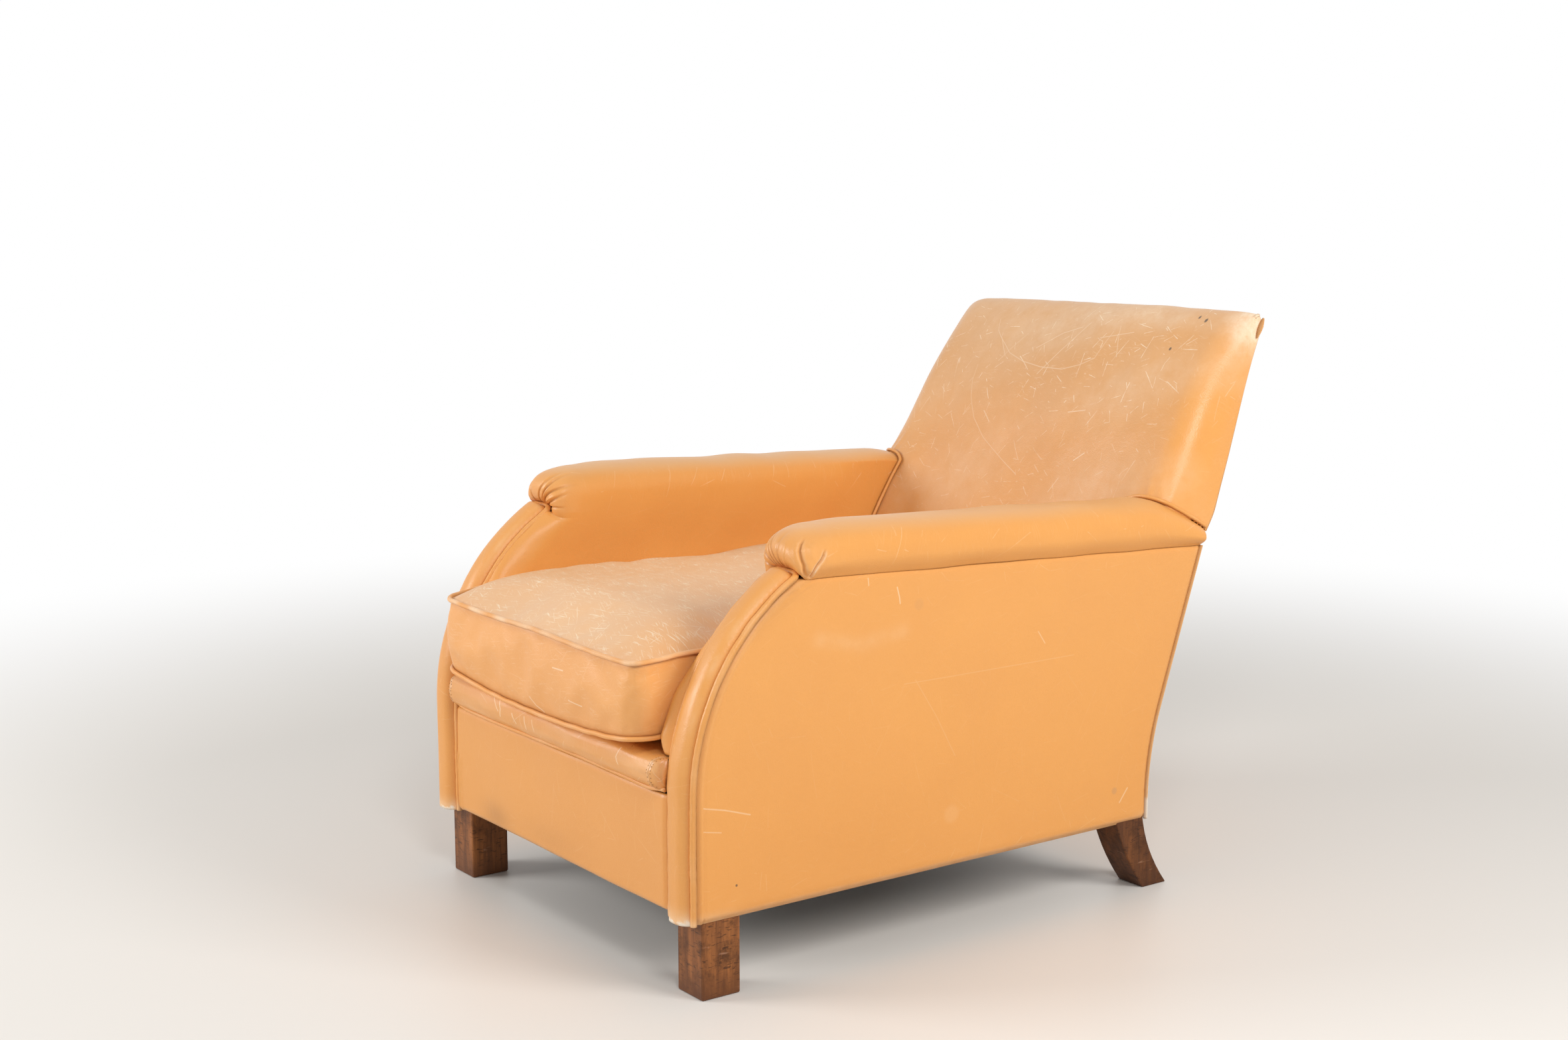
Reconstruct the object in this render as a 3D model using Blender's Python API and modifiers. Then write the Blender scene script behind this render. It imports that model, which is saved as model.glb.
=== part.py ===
# Worn leather club chair: low raked seat, arms with curved fronts, loose box cushion.
# Metres. X runs across the chair, Y from front to back, Z up from the floor.
# Left and right are the sitter's: left is +X. Until the last step Y is measured
# from the front faces of the front legs.

import math

import bmesh
import bpy

# Clearances and covers
gap = 0.0004                      # between two pieces that touch
leather = 0.003                   # stretched leather with its lining
welt_radius = 0.0042              # cord in the welts round the arm facings
welt_proud = 0.0018               # how far a welt stands out beside its facing
piping_radius = 0.0030            # cord in the other pipings

# Body
body_half_width = 0.319           # outer faces of the side leathers
arm_width = 0.0725                # from the outer face to the inner face of an arm
cover_bottom = 0.099              # lower edge of the leather
frame_bottom = 0.106              # underside of the rails
rail_width = 0.050                # rails and posts, across the chair
side_padding = 0.0065             # between the frame and the side leather's outer face

# Arm fronts: a straight stretch, then an arc up to the nose of the arm
facing_y = -0.020                 # edge of the facings
facing_arc_start = 0.250
facing_arc_radius = 0.300
facing_arc_angle = math.radians(62.5)
facing_board = 0.017              # padded board under the facing
facing_crown = 0.008
post_depth = 0.045

# Arms
seam_behind_facing = 0.0085       # seam under the arm pad: its front, from a facing's end
seam_below_facing = 0.0116
seam_slope = -0.0485
arm_pad_height = 0.0640
arm_pad_half_width = 0.0460
arm_pad_overhang = 0.0150         # how far the nose stands before a facing's end
arm_pad_fall_length = 0.1135      # the top falls over this length, towards the nose
arm_pad_fall = 0.006
arm_rail_height = 0.040
inside_arm_thickness = 0.0130
arm_tuck_height = 0.030
arm_tuck_width = 0.022

# Rear line of the chair: upright, then a raked stretch, then a sweep to the top
rear_y = 0.730
rear_rake_start = 0.130
rear_rake_end = 0.258
rake_slope = 0.333
sweep_start = 0.500
sweep_back = 0.0238               # how far the sweep carries the top back

# Back
back_front_y = 0.757              # front of the back at the reference height
back_front_height = 0.534
back_front_slope = 0.578
back_upright_below = 0.380        # lower down the front of the back stands upright
back_top = 0.771
back_round_drop = 0.071           # the top starts to roll over this far down
back_crest_y = 0.930
back_rear_drop = 0.014            # top edge of the outside back, below the crest
back_inset = 0.0025               # at the arms, from the side leathers
back_taper = 0.041                # narrowing, for each metre of height
back_edge_radius = 0.050
back_crown = 0.012
back_post_depth = 0.028
back_post_width = 0.028
back_post_drop = 0.045            # below the outside back's top edge
back_rail_height = 0.042
back_rail_depth = 0.0225
back_tuck_drop = 0.030            # tuck rail, below the upright stretch
back_webbing_margin = 0.080       # below the top rail
arm_lap_front = 0.700             # the back starts to lap over the arms here
arm_lap_drop = 0.0515             # how far the lap falls towards the rear

# Seat
front_rail_depth = 0.028
front_rail_height = 0.100
side_rail_height = 0.070
apron_top = 0.2500
apron_thickness = 0.014
roll_front = -0.034
roll_depth = 0.066
roll_top = 0.2975
webbing_width = 0.050
webbing_thickness = 0.0025
seat_webbing_strips = 5
back_webbing_strips = 4
spring_pitch_y = 0.170
spring_front_y = 0.170
spring_radius = 0.046
spring_waist = 0.034
spring_height = 0.142
spring_turns = 3.5
spring_wire = 0.0018
hessian_thickness = 0.0025
dust_cover_drop = 0.0075          # below the frame

# Cushion
cushion_front = -0.047
cushion_back_gap = 0.010
cushion_arm_gap = 0.005
cushion_corner = 0.036              # the lower seam turns its corners widely
cushion_top_corner = 0.016          # and the upper seam tightly
cushion_rest = 0.0045             # lower seam of the cushion, above the roll
cushion_side = 0.1030             # between the two pipings
cushion_corner_lift = 0.0110      # the lower edge curls up towards the sides
cushion_crown = 0.040
cushion_fullness = 7.0              # how close to the seams the crown is reached
cushion_belly = 0.004
cushion_piping_proud = 0.0008

# Legs
front_leg_inset = 0.006
front_leg_width = 0.054
front_leg_depth = 0.056
rear_leg_width = 0.048
rear_leg_front = 0.674
rear_leg_clear = 0.0018           # from the inner face of the outside back
rear_leg_kick = 0.0475            # how far the toe stands behind the top
rear_toe_depth = 0.0445

# Colours
leather_tan = (0.73, 0.38, 0.13)
leather_pale = (0.70, 0.40, 0.17)
dark_wood = (0.12, 0.045, 0.02)
beech = (0.55, 0.38, 0.22)
jute = (0.42, 0.32, 0.18)
black_cloth = (0.03, 0.03, 0.03)
spring_steel = (0.35, 0.33, 0.30)

sides = {"left": 1, "right": -1}
frame_outer = body_half_width - side_padding
frame_inner = frame_outer - rail_width
arm_inner = body_half_width - arm_width
facing_length = facing_arc_start - cover_bottom + facing_arc_radius * facing_arc_angle
facing_end_y = facing_y + facing_arc_radius * (1 - math.cos(facing_arc_angle))
facing_end_z = facing_arc_start + facing_arc_radius * math.sin(facing_arc_angle)
seam_front = (facing_end_y + seam_behind_facing, facing_end_z - seam_below_facing)
arm_pad_nose = facing_end_y - arm_pad_overhang
arm_pad_level_y = arm_pad_nose + arm_pad_fall_length
back_half_width = body_half_width - back_inset
back_round_height = back_top - back_round_drop
back_rear_top = back_top - back_rear_drop
back_post_top = back_rear_top - back_post_drop
back_lower_front = back_front_y + back_front_slope * (back_upright_below - back_front_height)
front_leg_x = body_half_width - front_leg_inset - front_leg_width / 2
cushion_half_width = arm_inner - cushion_arm_gap
cushion_rear = back_lower_front - cushion_back_gap
cushion_bottom = roll_top + cushion_rest
seat_webbing_pitch = 2 * frame_inner / seat_webbing_strips
spring_pitch_x = 2 * frame_inner / 3.5

for old in list(bpy.data.objects):
    bpy.data.objects.remove(old, do_unlink=True)
chair = bpy.data.collections.new("club_chair")
cutters = bpy.data.collections.new("cutters")
bpy.context.scene.collection.children.link(chair)
bpy.context.scene.collection.children.link(cutters)
centre = bpy.data.objects.new("chair_centre", None)
chair.objects.link(centre)


# Materials

def make_material(name, colour, roughness, metallic=0.0):
    material = bpy.data.materials.new(name)
    material.use_nodes = True
    shader = material.node_tree.nodes["Principled BSDF"]
    shader.inputs["Base Color"].default_value = (*colour, 1.0)
    shader.inputs["Roughness"].default_value = roughness
    shader.inputs["Metallic"].default_value = metallic
    return material


def place(obj, colour, roughness, metallic=0.0):
    obj.data.materials.clear()
    obj.data.materials.append(make_material(obj.name, colour, roughness, metallic))
    obj.parent = centre
    chair.objects.link(obj)
    return obj


# Modelling helpers

def mesh_object(name, bm):
    bmesh.ops.remove_doubles(bm, verts=bm.verts, dist=0.00001)
    bmesh.ops.recalc_face_normals(bm, faces=bm.faces)
    mesh = bpy.data.meshes.new(name)
    bm.to_mesh(mesh)
    bm.free()
    return bpy.data.objects.new(name, mesh)


def bevel(obj, width, segments=2):
    weld = obj.modifiers.new("weld", "WELD")
    weld.merge_threshold = 0.00002
    modifier = obj.modifiers.new("bevel", "BEVEL")
    modifier.width = width
    modifier.segments = segments
    modifier.limit_method = "ANGLE"
    modifier.angle_limit = math.radians(40)
    return obj


def box(name, low, high):
    bm = bmesh.new()
    bmesh.ops.create_cube(bm, size=1.0)
    size = [high[i] - low[i] for i in range(3)]
    middle = [(high[i] + low[i]) / 2 for i in range(3)]
    bmesh.ops.scale(bm, vec=size, verts=bm.verts)
    obj = mesh_object(name, bm)
    obj.location = middle
    return obj


# A flat outline in the YZ plane, given a thickness across the chair
def side_outline(name, points, x, thickness):
    curve = bpy.data.curves.new(name, "CURVE")
    curve.dimensions = "2D"
    curve.fill_mode = "BOTH"
    curve.extrude = thickness / 2
    spline = curve.splines.new("POLY")
    spline.points.add(len(points) - 1)
    for point, (y, z) in zip(spline.points, points):
        point.co = (y, z, 0, 1)
    spline.use_cyclic_u = True
    obj = bpy.data.objects.new(name, curve)
    obj.location.x = x
    obj.rotation_euler = (math.pi / 2, 0, math.pi / 2)
    return obj


def tube(name, points, radius, closed=False):
    curve = bpy.data.curves.new(name, "CURVE")
    curve.dimensions = "3D"
    curve.bevel_depth = radius
    curve.bevel_resolution = 2
    curve.use_fill_caps = not closed
    spline = curve.splines.new("POLY")
    spline.points.add(len(points) - 1)
    for point, co in zip(spline.points, points):
        point.co = (*co, 1)
    spline.use_cyclic_u = closed
    return bpy.data.objects.new(name, curve)


# Joins closed sections of equal count into one body with flat ends
def loft(name, sections):
    bm = bmesh.new()
    rows = [[bm.verts.new(point) for point in section] for section in sections]
    count = len(rows[0])
    for first, second in zip(rows, rows[1:]):
        for i in range(count):
            j = (i + 1) % count
            bm.faces.new((first[i], first[j], second[j], second[i]))
    bm.faces.new(rows[0])
    bm.faces.new(rows[-1])
    return mesh_object(name, bm)


# A sheet of rows and columns given a thickness, with holes where a face is left out
def sheet(name, rows, thickness, keep=lambda row, column: True):
    bm = bmesh.new()
    grid = [[bm.verts.new(point) for point in row] for row in rows]
    for r in range(len(grid) - 1):
        for c in range(len(grid[0]) - 1):
            if keep(r, c):
                bm.faces.new((grid[r][c], grid[r][c + 1], grid[r + 1][c + 1], grid[r + 1][c]))
    loose = [vert for vert in bm.verts if not vert.link_faces]
    bmesh.ops.delete(bm, geom=loose, context="VERTS")
    mesh = bpy.data.meshes.new(name)
    bm.to_mesh(mesh)
    bm.free()
    obj = bpy.data.objects.new(name, mesh)
    solid = obj.modifiers.new("thickness", "SOLIDIFY")
    solid.thickness = thickness
    solid.offset = 0
    return obj


def cut(obj, cutter):
    cutters.objects.link(cutter)
    cutter.parent = centre
    cutter.hide_render = True
    cutter.display_type = "WIRE"
    modifier = obj.modifiers.new("cut", "BOOLEAN")
    modifier.operation = "DIFFERENCE"
    modifier.object = cutter


def steps(first, last, count):
    return [first + (last - first) * i / count for i in range(count + 1)]


# Lines that several pieces follow

# The edge of an arm front: along it from the bottom, and outward from it
def facing_line(along, out=0.0):
    straight = facing_arc_start - cover_bottom
    if along <= straight:
        return facing_y - out, cover_bottom + along
    angle = (along - straight) / facing_arc_radius
    radius = facing_arc_radius + out
    middle = facing_y + facing_arc_radius
    return middle - radius * math.cos(angle), facing_arc_start + radius * math.sin(angle)


def facing_steps(first, last, count=10):
    straight = facing_arc_start - cover_bottom
    return [first] + steps(straight, last, count)


def facing_angle(height, out):
    return math.asin(min(1.0, (height - facing_arc_start) / (facing_arc_radius + out)))


# The outer face of the chair's rear
def rear_line(z):
    z = max(z, rear_rake_start)
    if z < rear_rake_end:
        share = (z - rear_rake_start) / (rear_rake_end - rear_rake_start)
        return rear_y + rake_slope * share * (z - rear_rake_start) / 2
    y = rear_y + rake_slope * ((rear_rake_end - rear_rake_start) / 2 + z - rear_rake_end)
    sweep = max(0.0, z - sweep_start) / (back_rear_top - sweep_start)
    return y + sweep_back * sweep ** 2


def rear_heights(low, high):
    marks = [rear_rake_start, (rear_rake_start + rear_rake_end) / 2, rear_rake_end, sweep_start]
    marks += steps(sweep_start, back_rear_top, 3)[1:]
    return [low] + [z for z in marks if low + 0.01 < z < high - 0.01] + [high]


def back_front(z):
    z = max(z, back_upright_below)
    return back_front_y + back_front_slope * (z - back_front_height)


def seam_height(y):
    return seam_front[1] + seam_slope * (y - seam_front[0])


# Where the seam under the arm pads meets the rear line
def rear_seam_height():
    z = seam_front[1]
    for _ in range(6):
        z = seam_height(rear_line(z))
    return z


def back_width(z):
    return back_half_width - back_taper * max(0.0, z - sweep_start)


# The top of an arm: full height to the lap of the back, then falling under it
def arm_top(y):
    lap_length = rear_line(sweep_start) - arm_lap_front
    lap = max(0.0, (y - arm_lap_front) / lap_length)
    return seam_height(min(y, arm_lap_front)) + arm_pad_height - arm_lap_drop * lap ** 1.9


def facing_centre():
    return (frame_outer + frame_inner) / 2 + 0.005


def facing_half():
    return body_half_width - facing_centre()


# Inner side of the welts on the inner edges of the facings
def welt_inner():
    return facing_centre() - facing_half() - welt_proud


# Legs

def front_legs():
    for side, sign in sides.items():
        x = front_leg_x * sign
        half = front_leg_width / 2
        leg = box(f"front_leg_{side}", (x - half, 0, 0), (x + half, front_leg_depth, frame_bottom - gap))
        place(bevel(leg, 0.0025), dark_wood, 0.5)


# A sabre leg: its front and rear edges are parabolas that kick back to the toe
def rear_legs():
    top = frame_bottom - gap
    rear = rear_y - leather - rear_leg_clear
    depth = rear - rear_leg_front
    front_kick = rear_leg_kick + depth - rear_toe_depth
    falls = steps(0.0, 1.0, 8)
    points = [(rear_leg_front + front_kick * (0.55 * f + 0.45 * f * f), top * (1 - f)) for f in falls]
    points += [(rear + rear_leg_kick * (0.25 * f + 0.75 * f * f), top * (1 - f)) for f in reversed(falls)]
    for side, sign in sides.items():
        x = (body_half_width - leather - gap - rear_leg_width / 2) * sign
        leg = side_outline(f"rear_leg_{side}", points, x, rear_leg_width)
        place(bevel(leg, 0.002), dark_wood, 0.5)


# Frame

def frame_rails():
    back_inner = rear_line(frame_bottom) - leather - gap
    post_rear = facing_y + facing_board + gap + post_depth
    low = frame_bottom
    half = frame_inner - gap
    front = facing_y + facing_board + 2 * gap
    parts = {
        "front_rail": ((-half, front, low), (half, front + front_rail_depth, low + front_rail_height)),
        "rear_rail": (
            (-half, back_inner - back_post_depth, low),
            (half, back_inner, low + side_rail_height),
        ),
    }
    for side, sign in sides.items():
        xs = sorted((frame_inner * sign, frame_outer * sign))
        parts[f"side_rail_{side}"] = (
            (xs[0], post_rear + gap, low),
            (xs[1], back_inner - back_post_depth - gap, low + side_rail_height),
        )
    for name, (low_corner, high_corner) in parts.items():
        place(bevel(box(name, low_corner, high_corner), 0.002, 1), beech, 0.7)


# The posts behind the facings, sawn to the same curve
def front_posts():
    out_front = -facing_board - gap
    out_rear = out_front - post_depth
    top = seam_height(seam_front[0]) - gap
    front_end = facing_angle(top, out_front)
    rear_end = facing_angle(min(top, facing_arc_start + (facing_arc_radius + out_rear) * 0.80), out_rear)
    straight = facing_arc_start - cover_bottom
    low = frame_bottom - cover_bottom
    front = [facing_line(low, out_front)]
    front += [facing_line(straight + facing_arc_radius * a, out_front) for a in steps(0, front_end, 7)]
    rear = [facing_line(straight + facing_arc_radius * a, out_rear) for a in steps(rear_end, 0, 5)]
    rear.append(facing_line(low, out_rear))
    crown_y = max(rear[0][0], front[-1][0] + 0.02)
    crown = (crown_y, seam_height(crown_y) - gap)
    points = front + [crown] + rear
    for side, sign in sides.items():
        x = (frame_inner + rail_width / 2) * sign
        place(side_outline(f"front_post_{side}", points, x, rail_width), beech, 0.7)


def back_posts():
    heights = rear_heights(frame_bottom, back_post_top)
    rear = [(rear_line(z) - leather - gap, z) for z in heights]
    front = [(y - back_post_depth, z) for y, z in reversed(rear)]
    for side, sign in sides.items():
        x = (frame_inner + back_post_width / 2) * sign
        place(side_outline(f"back_post_{side}", rear + front, x, back_post_width), beech, 0.7)


# Rails that lie along the rake of the back, between its posts
def back_rails():
    half = frame_inner - gap
    rails = {"back_top_rail": back_post_top, "back_tuck_rail": back_upright_below - back_tuck_drop}
    for name, top in rails.items():
        heights = [top - back_rail_height, top]
        rear = [(rear_line(z) - leather - gap, z) for z in heights]
        front = [(y - back_rail_depth, z) for y, z in reversed(rear)]
        rail = side_outline(name, rear + front, 0, 2 * half)
        place(rail, beech, 0.7)


def arm_rails():
    first = seam_front[0] + post_depth + gap
    ends = []
    for drop in (gap, arm_rail_height):
        z_rear = rear_seam_height() - drop
        y_rear = rear_line(z_rear) - leather - 2 * gap - back_post_depth
        ends.append((y_rear, seam_height(y_rear) - drop))
    front_top = seam_height(first) - gap
    points = [(first, front_top), ends[0], ends[1], (first, front_top + gap - arm_rail_height)]
    tuck_z = roll_top + 0.006
    tuck_front = facing_line(tuck_z - cover_bottom, -facing_board - post_depth - 3 * gap)[0] + 0.008
    tuck_top = tuck_z + arm_tuck_height
    to_post = leather + 2 * gap + back_post_depth
    tuck_points = [
        (tuck_front, tuck_z),
        (rear_line(tuck_z) - to_post, tuck_z),
        (rear_line(tuck_top) - to_post, tuck_top),
        (tuck_front + 0.006, tuck_top),
    ]
    for side, sign in sides.items():
        x = (frame_inner + rail_width / 2) * sign
        place(side_outline(f"arm_rail_{side}", points, x, rail_width), beech, 0.7)
        x = (frame_inner + arm_tuck_width / 2) * sign
        place(side_outline(f"arm_tuck_rail_{side}", tuck_points, x, arm_tuck_width), beech, 0.7)


# Glued triangular blocks in the corners of the seat frame
def corner_blocks():
    front = facing_y + facing_board + 3 * gap + front_rail_depth
    rear = rear_line(frame_bottom) - leather - 2 * gap - back_post_depth
    size = 0.060
    for side, sign in sides.items():
        for end, y, way in (("front", front, 1), ("rear", rear, -1)):
            x = (frame_inner - gap) * sign
            corners = [(x, y), (x - size * sign, y), (x, y + size * way)]
            heights = (frame_bottom + 0.012, frame_bottom + 0.050)
            sections = [[(*corner, z) for corner in corners] for z in heights]
            place(loft(f"corner_block_{end}_{side}", sections), beech, 0.7)


# Seat

# Strips that cross: a sheet with a square hole between each pair of strips
def webbing(name, xs, ys, point):
    def edges(values, margin):
        marks = [values[0] - margin]
        for value in values:
            marks += [value - webbing_width / 2, value + webbing_width / 2]
        return marks + [values[-1] + margin]

    columns = edges(xs, webbing_width)
    rows = edges(ys, webbing_width)
    grid = [[point(x, y) for x in columns] for y in rows]
    obj = sheet(name, grid, webbing_thickness, lambda r, c: r % 2 == 1 or c % 2 == 1)
    return place(obj, jute, 0.95)


def seat_webbing():
    half = (seat_webbing_strips - 1) / 2
    xs = [seat_webbing_pitch * (i - half) for i in range(seat_webbing_strips)]
    front = spring_front_y - 0.060
    rear = rear_line(frame_bottom) - leather - back_post_depth - webbing_width
    count = 6
    ys = [front + (rear - front) * i / (count - 1) for i in range(count)]
    z = frame_bottom - webbing_thickness / 2 - gap
    webbing("seat_webbing", xs, ys, lambda x, y: (x, y, z))


def back_webbing():
    half = (back_webbing_strips - 1) / 2
    xs = [seat_webbing_pitch * (i - half) for i in range(back_webbing_strips)]
    low = back_upright_below + back_tuck_drop
    high = back_post_top - back_rail_height - back_webbing_margin
    zs = steps(low, high, 2)
    out = leather + gap + back_rail_depth + webbing_thickness / 2 + gap
    webbing("back_webbing", xs, zs, lambda x, z: (x, rear_line(z) - out, z))


def coil_points(x, y, z):
    count = round(spring_turns * 7)
    points = []
    for i in range(count + 1):
        share = i / count
        angle = 2 * math.pi * spring_turns * share
        waist = math.sin(math.pi * share)
        radius = spring_radius + (spring_waist - spring_radius) * waist
        place_x = x + radius * math.cos(angle)
        place_y = y + radius * math.sin(angle)
        points.append((place_x, place_y, z + spring_height * share))
    return points


def springs():
    low = frame_bottom + spring_wire + gap
    for row in range(3):
        for column in range(3):
            x = (column - 1) * spring_pitch_x
            y = spring_front_y + row * spring_pitch_y
            spring = tube(f"seat_spring_{row * 3 + column + 1}", coil_points(x, y, low), spring_wire)
            place(spring, spring_steel, 0.4, 0.9)


def seat_deck():
    front = facing_y + facing_board + 3 * gap + front_rail_depth
    rear = back_front(0) + 0.004
    half = frame_inner - gap
    low = frame_bottom + 2 * spring_wire + 3 * gap + spring_height
    y_front = front - front_rail_depth * 0.5
    cloth = box("spring_hessian", (-half, y_front, low), (half, rear, low + hessian_thickness))
    place(cloth, jute, 0.95)
    low += hessian_thickness + gap
    deck = box(
        "seat_deck",
        (-half, roll_front + roll_depth + gap, low),
        (half, rear, roll_top),
    )
    place(bevel(deck, 0.008), leather_tan, 0.6)


# Stuffed lip along the front of the deck
def front_roll():
    low = apron_top + 2 * piping_radius + 2 * gap
    middle_z = (low + roll_top) / 2
    half_height = (roll_top - low) / 2
    back = roll_front + roll_depth
    points = [(back, low), (back, roll_top)]
    reach = half_height * 1.15
    for angle in steps(math.pi / 2, -math.pi / 2, 8):
        y = roll_front + reach - reach * math.cos(angle)
        points.append((y, middle_z + half_height * math.sin(angle)))
    half = frame_inner - gap
    place(bevel(side_outline("seat_front_roll", points, 0, 2 * half), 0.003, 1), leather_tan, 0.45)


def front_apron():
    half = welt_inner() - gap
    front = facing_y + 0.0015
    low_corner = (-half, front, frame_bottom)
    apron = box("front_apron", low_corner, (half, front + apron_thickness, apron_top))
    place(bevel(apron, 0.003), leather_tan, 0.45)
    z = apron_top + piping_radius + gap
    y = front - 0.0015
    piping = tube("apron_piping", [(x, y, z) for x in steps(-half, half, 4)], piping_radius)
    place(piping, leather_tan, 0.45)


def dust_cover():
    half = front_leg_x - front_leg_width / 2 - 0.004
    high = frame_bottom - webbing_thickness - 3 * gap
    low = frame_bottom - dust_cover_drop
    front = facing_y + apron_thickness + 0.006
    rear = rear_leg_front - 0.004
    place(box("dust_cover", (-half, front, low), (half, rear, high - 0.002)), black_cloth, 0.95)


# Arms

def outside_arms():
    inset = -2 * welt_radius - 0.0020 - gap
    last = facing_length - 0.004
    front = [facing_line(s, inset) for s in facing_steps(0.0, last)]
    heights = rear_heights(cover_bottom, rear_seam_height())
    rear_inset = piping_radius * 2 - 0.0015
    rear = [(rear_line(z) - rear_inset, z) for z in reversed(heights)]
    front[-1] = (front[-1][0], min(front[-1][1], seam_height(front[-1][0]) - gap))
    points = front + [(seam_front[0] + 0.02, seam_height(seam_front[0] + 0.02) - gap)] + rear
    for side, sign in sides.items():
        x = (body_half_width - leather / 2) * sign
        place(side_outline(f"outside_arm_{side}", points, x, leather), leather_tan, 0.45)


def inside_arms():
    out = -0.0045
    bottom = roll_top + 0.005
    start = facing_arc_start - cover_bottom
    start += facing_arc_radius * facing_angle(bottom, out)
    top = seam_height(seam_front[0]) - 2 * gap
    end = facing_arc_start - cover_bottom + facing_arc_radius * facing_angle(top, out)
    front = [facing_line(s, out) for s in steps(start, end, 6)]
    clear = back_edge_gap()
    top_rear = seam_height(back_front(seam_height(arm_lap_front)) + clear) - 3 * gap
    rear = [(back_front(z) + clear, z) for z in (top_rear, back_upright_below, bottom)]
    points = front + rear
    for side, sign in sides.items():
        x = (arm_inner + inside_arm_thickness / 2) * sign
        arm = side_outline(f"inside_arm_{side}", points, x, inside_arm_thickness)
        place(bevel(arm, 0.004), leather_tan, 0.45)


# The inside arm leathers run on beside the back by this much
def back_edge_gap():
    return 0.020


# A flat base with a rounded top: a superellipse whose sides come in at the base
def arm_section(y, bottom, top, half_width, lean=0.0):
    centre_x = arm_centre()
    height = top - bottom
    middle = bottom + 0.35 * height
    points = [(centre_x + 0.76 * half_width, bottom)]
    for angle in steps(0, math.pi, 8):
        across = math.copysign(abs(math.cos(angle)) ** 0.82, math.cos(angle))
        up = abs(math.sin(angle)) ** 0.82
        points.append((centre_x + half_width * across, middle + 0.65 * height * up))
    points.append((centre_x - 0.76 * half_width, bottom))
    return [(x, y + lean * (z - bottom), z) for x, z in points]


def arm_centre():
    return body_half_width - 0.76 * arm_pad_half_width


def arm_pads():
    nose_bottom = seam_front[1] + 0.0145
    top = arm_top(arm_pad_level_y)
    width = arm_pad_half_width
    sections = [
        arm_section(arm_pad_nose, nose_bottom + 0.003, top - 0.022, width * 0.42),
        arm_section(arm_pad_nose + 0.0075, nose_bottom + 0.001, top - 0.013, width * 0.66),
        arm_section(arm_pad_nose + 0.014, nose_bottom, top - 0.009, width * 0.83),
        arm_section(arm_pad_nose + 0.0225, nose_bottom, top - 0.0065, width * 0.92),
        arm_section(arm_pad_nose + 0.0265, seam_front[1] + gap, top - 0.0058, width * 0.94),
    ]
    level_length = arm_lap_front - arm_pad_level_y
    places = [arm_pad_nose + arm_pad_fall_length * share for share in (0.42, 0.73)]
    places += [arm_pad_level_y + level_length * share for share in (0.2, 0.6)]
    for y in places:
        fall = arm_pad_fall * max(0.0, arm_pad_level_y - y) / arm_pad_fall_length
        sections.append(arm_section(y, seam_height(y), seam_height(y) + arm_pad_height - fall, width))
    last = rear_line(rear_seam_height()) - leather - 2 * gap
    for y in steps(arm_lap_front, last, 5):
        share = (y - arm_lap_front) / (last - arm_lap_front)
        lean = rake_slope * share
        height = arm_top(y + lean * 0.03) - gap
        sections.append(arm_section(y, seam_height(y), height, width * (1 - 0.05 * share), lean))
    for side, sign in sides.items():
        mirrored = [[(x * sign, y, z) for x, y, z in section] for section in sections]
        pad = loft(f"arm_pad_{side}", mirrored)
        cut(pad, back_post_cutter(f"arm_pad_slot_{side}", sign, gap))
        place(pad, leather_tan, 0.45)


def back_post_cutter(name, sign, clear):
    seam = rear_seam_height()
    heights = steps(seam - 0.5 * arm_pad_height, seam + 2.3 * arm_pad_height, 3)
    rear = [(rear_line(z) + 0.03, z) for z in heights]
    front = [(rear_line(z) - leather - gap - back_post_depth - clear, z) for z in reversed(heights)]
    xs = (frame_inner - clear, frame_inner + back_post_width + clear)
    return loft(name, [[(x * sign, y, z) for y, z in rear + front] for x in xs])


# Padded strips on the arm fronts: flat behind, crowned in front, with room beside
# them for the welts
def arm_facings():
    half = facing_half()
    neck = half - 2 * welt_radius + 0.0016
    lip = -2 * welt_radius * 0.12
    profile = [(-neck, -facing_board), (-neck, lip), (-half, lip + 0.0006)]
    for angle in steps(math.pi * 0.86, math.pi * 0.14, 5):
        profile.append((half * math.cos(angle) * 1.08, facing_crown * math.sin(angle) ** 0.7))
    profile += [(half, lip + 0.0006), (neck, lip), (neck, -facing_board)]
    last = facing_length - 2 * welt_radius - 0.0055
    sections = []
    for s in facing_steps(0.0, last, 11):
        section = []
        for across, out in profile:
            y, z = facing_line(s, out)
            section.append((facing_centre() + across, y, z))
        sections.append(section)
    for side, sign in sides.items():
        mirrored = [[(x * sign, y, z) for x, y, z in section] for section in sections]
        place(loft(f"arm_facing_{side}", mirrored), leather_tan, 0.4)


# A welt runs up the outer edge of a facing, over its top and down the inner edge
def facing_welts():
    out = -welt_radius - 0.0016
    reach = facing_half() - welt_radius + welt_proud
    turn = 0.010
    last = facing_length - welt_radius - turn
    up = [(reach, s) for s in facing_steps(0.0, last)]
    quarter = steps(0, math.pi / 2, 3)
    corner = [(reach - turn + turn * math.cos(a), last + turn * math.sin(a)) for a in quarter]
    half_path = up[:-1] + corner
    path = half_path + [(-across, s) for across, s in reversed(half_path)]
    for side, sign in sides.items():
        points = []
        for across, s in path:
            y, z = facing_line(s, out)
            points.append(((facing_centre() + across) * sign, y, z))
        place(tube(f"facing_welt_{side}", points, welt_radius), leather_tan, 0.4)


# Cushion

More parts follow.
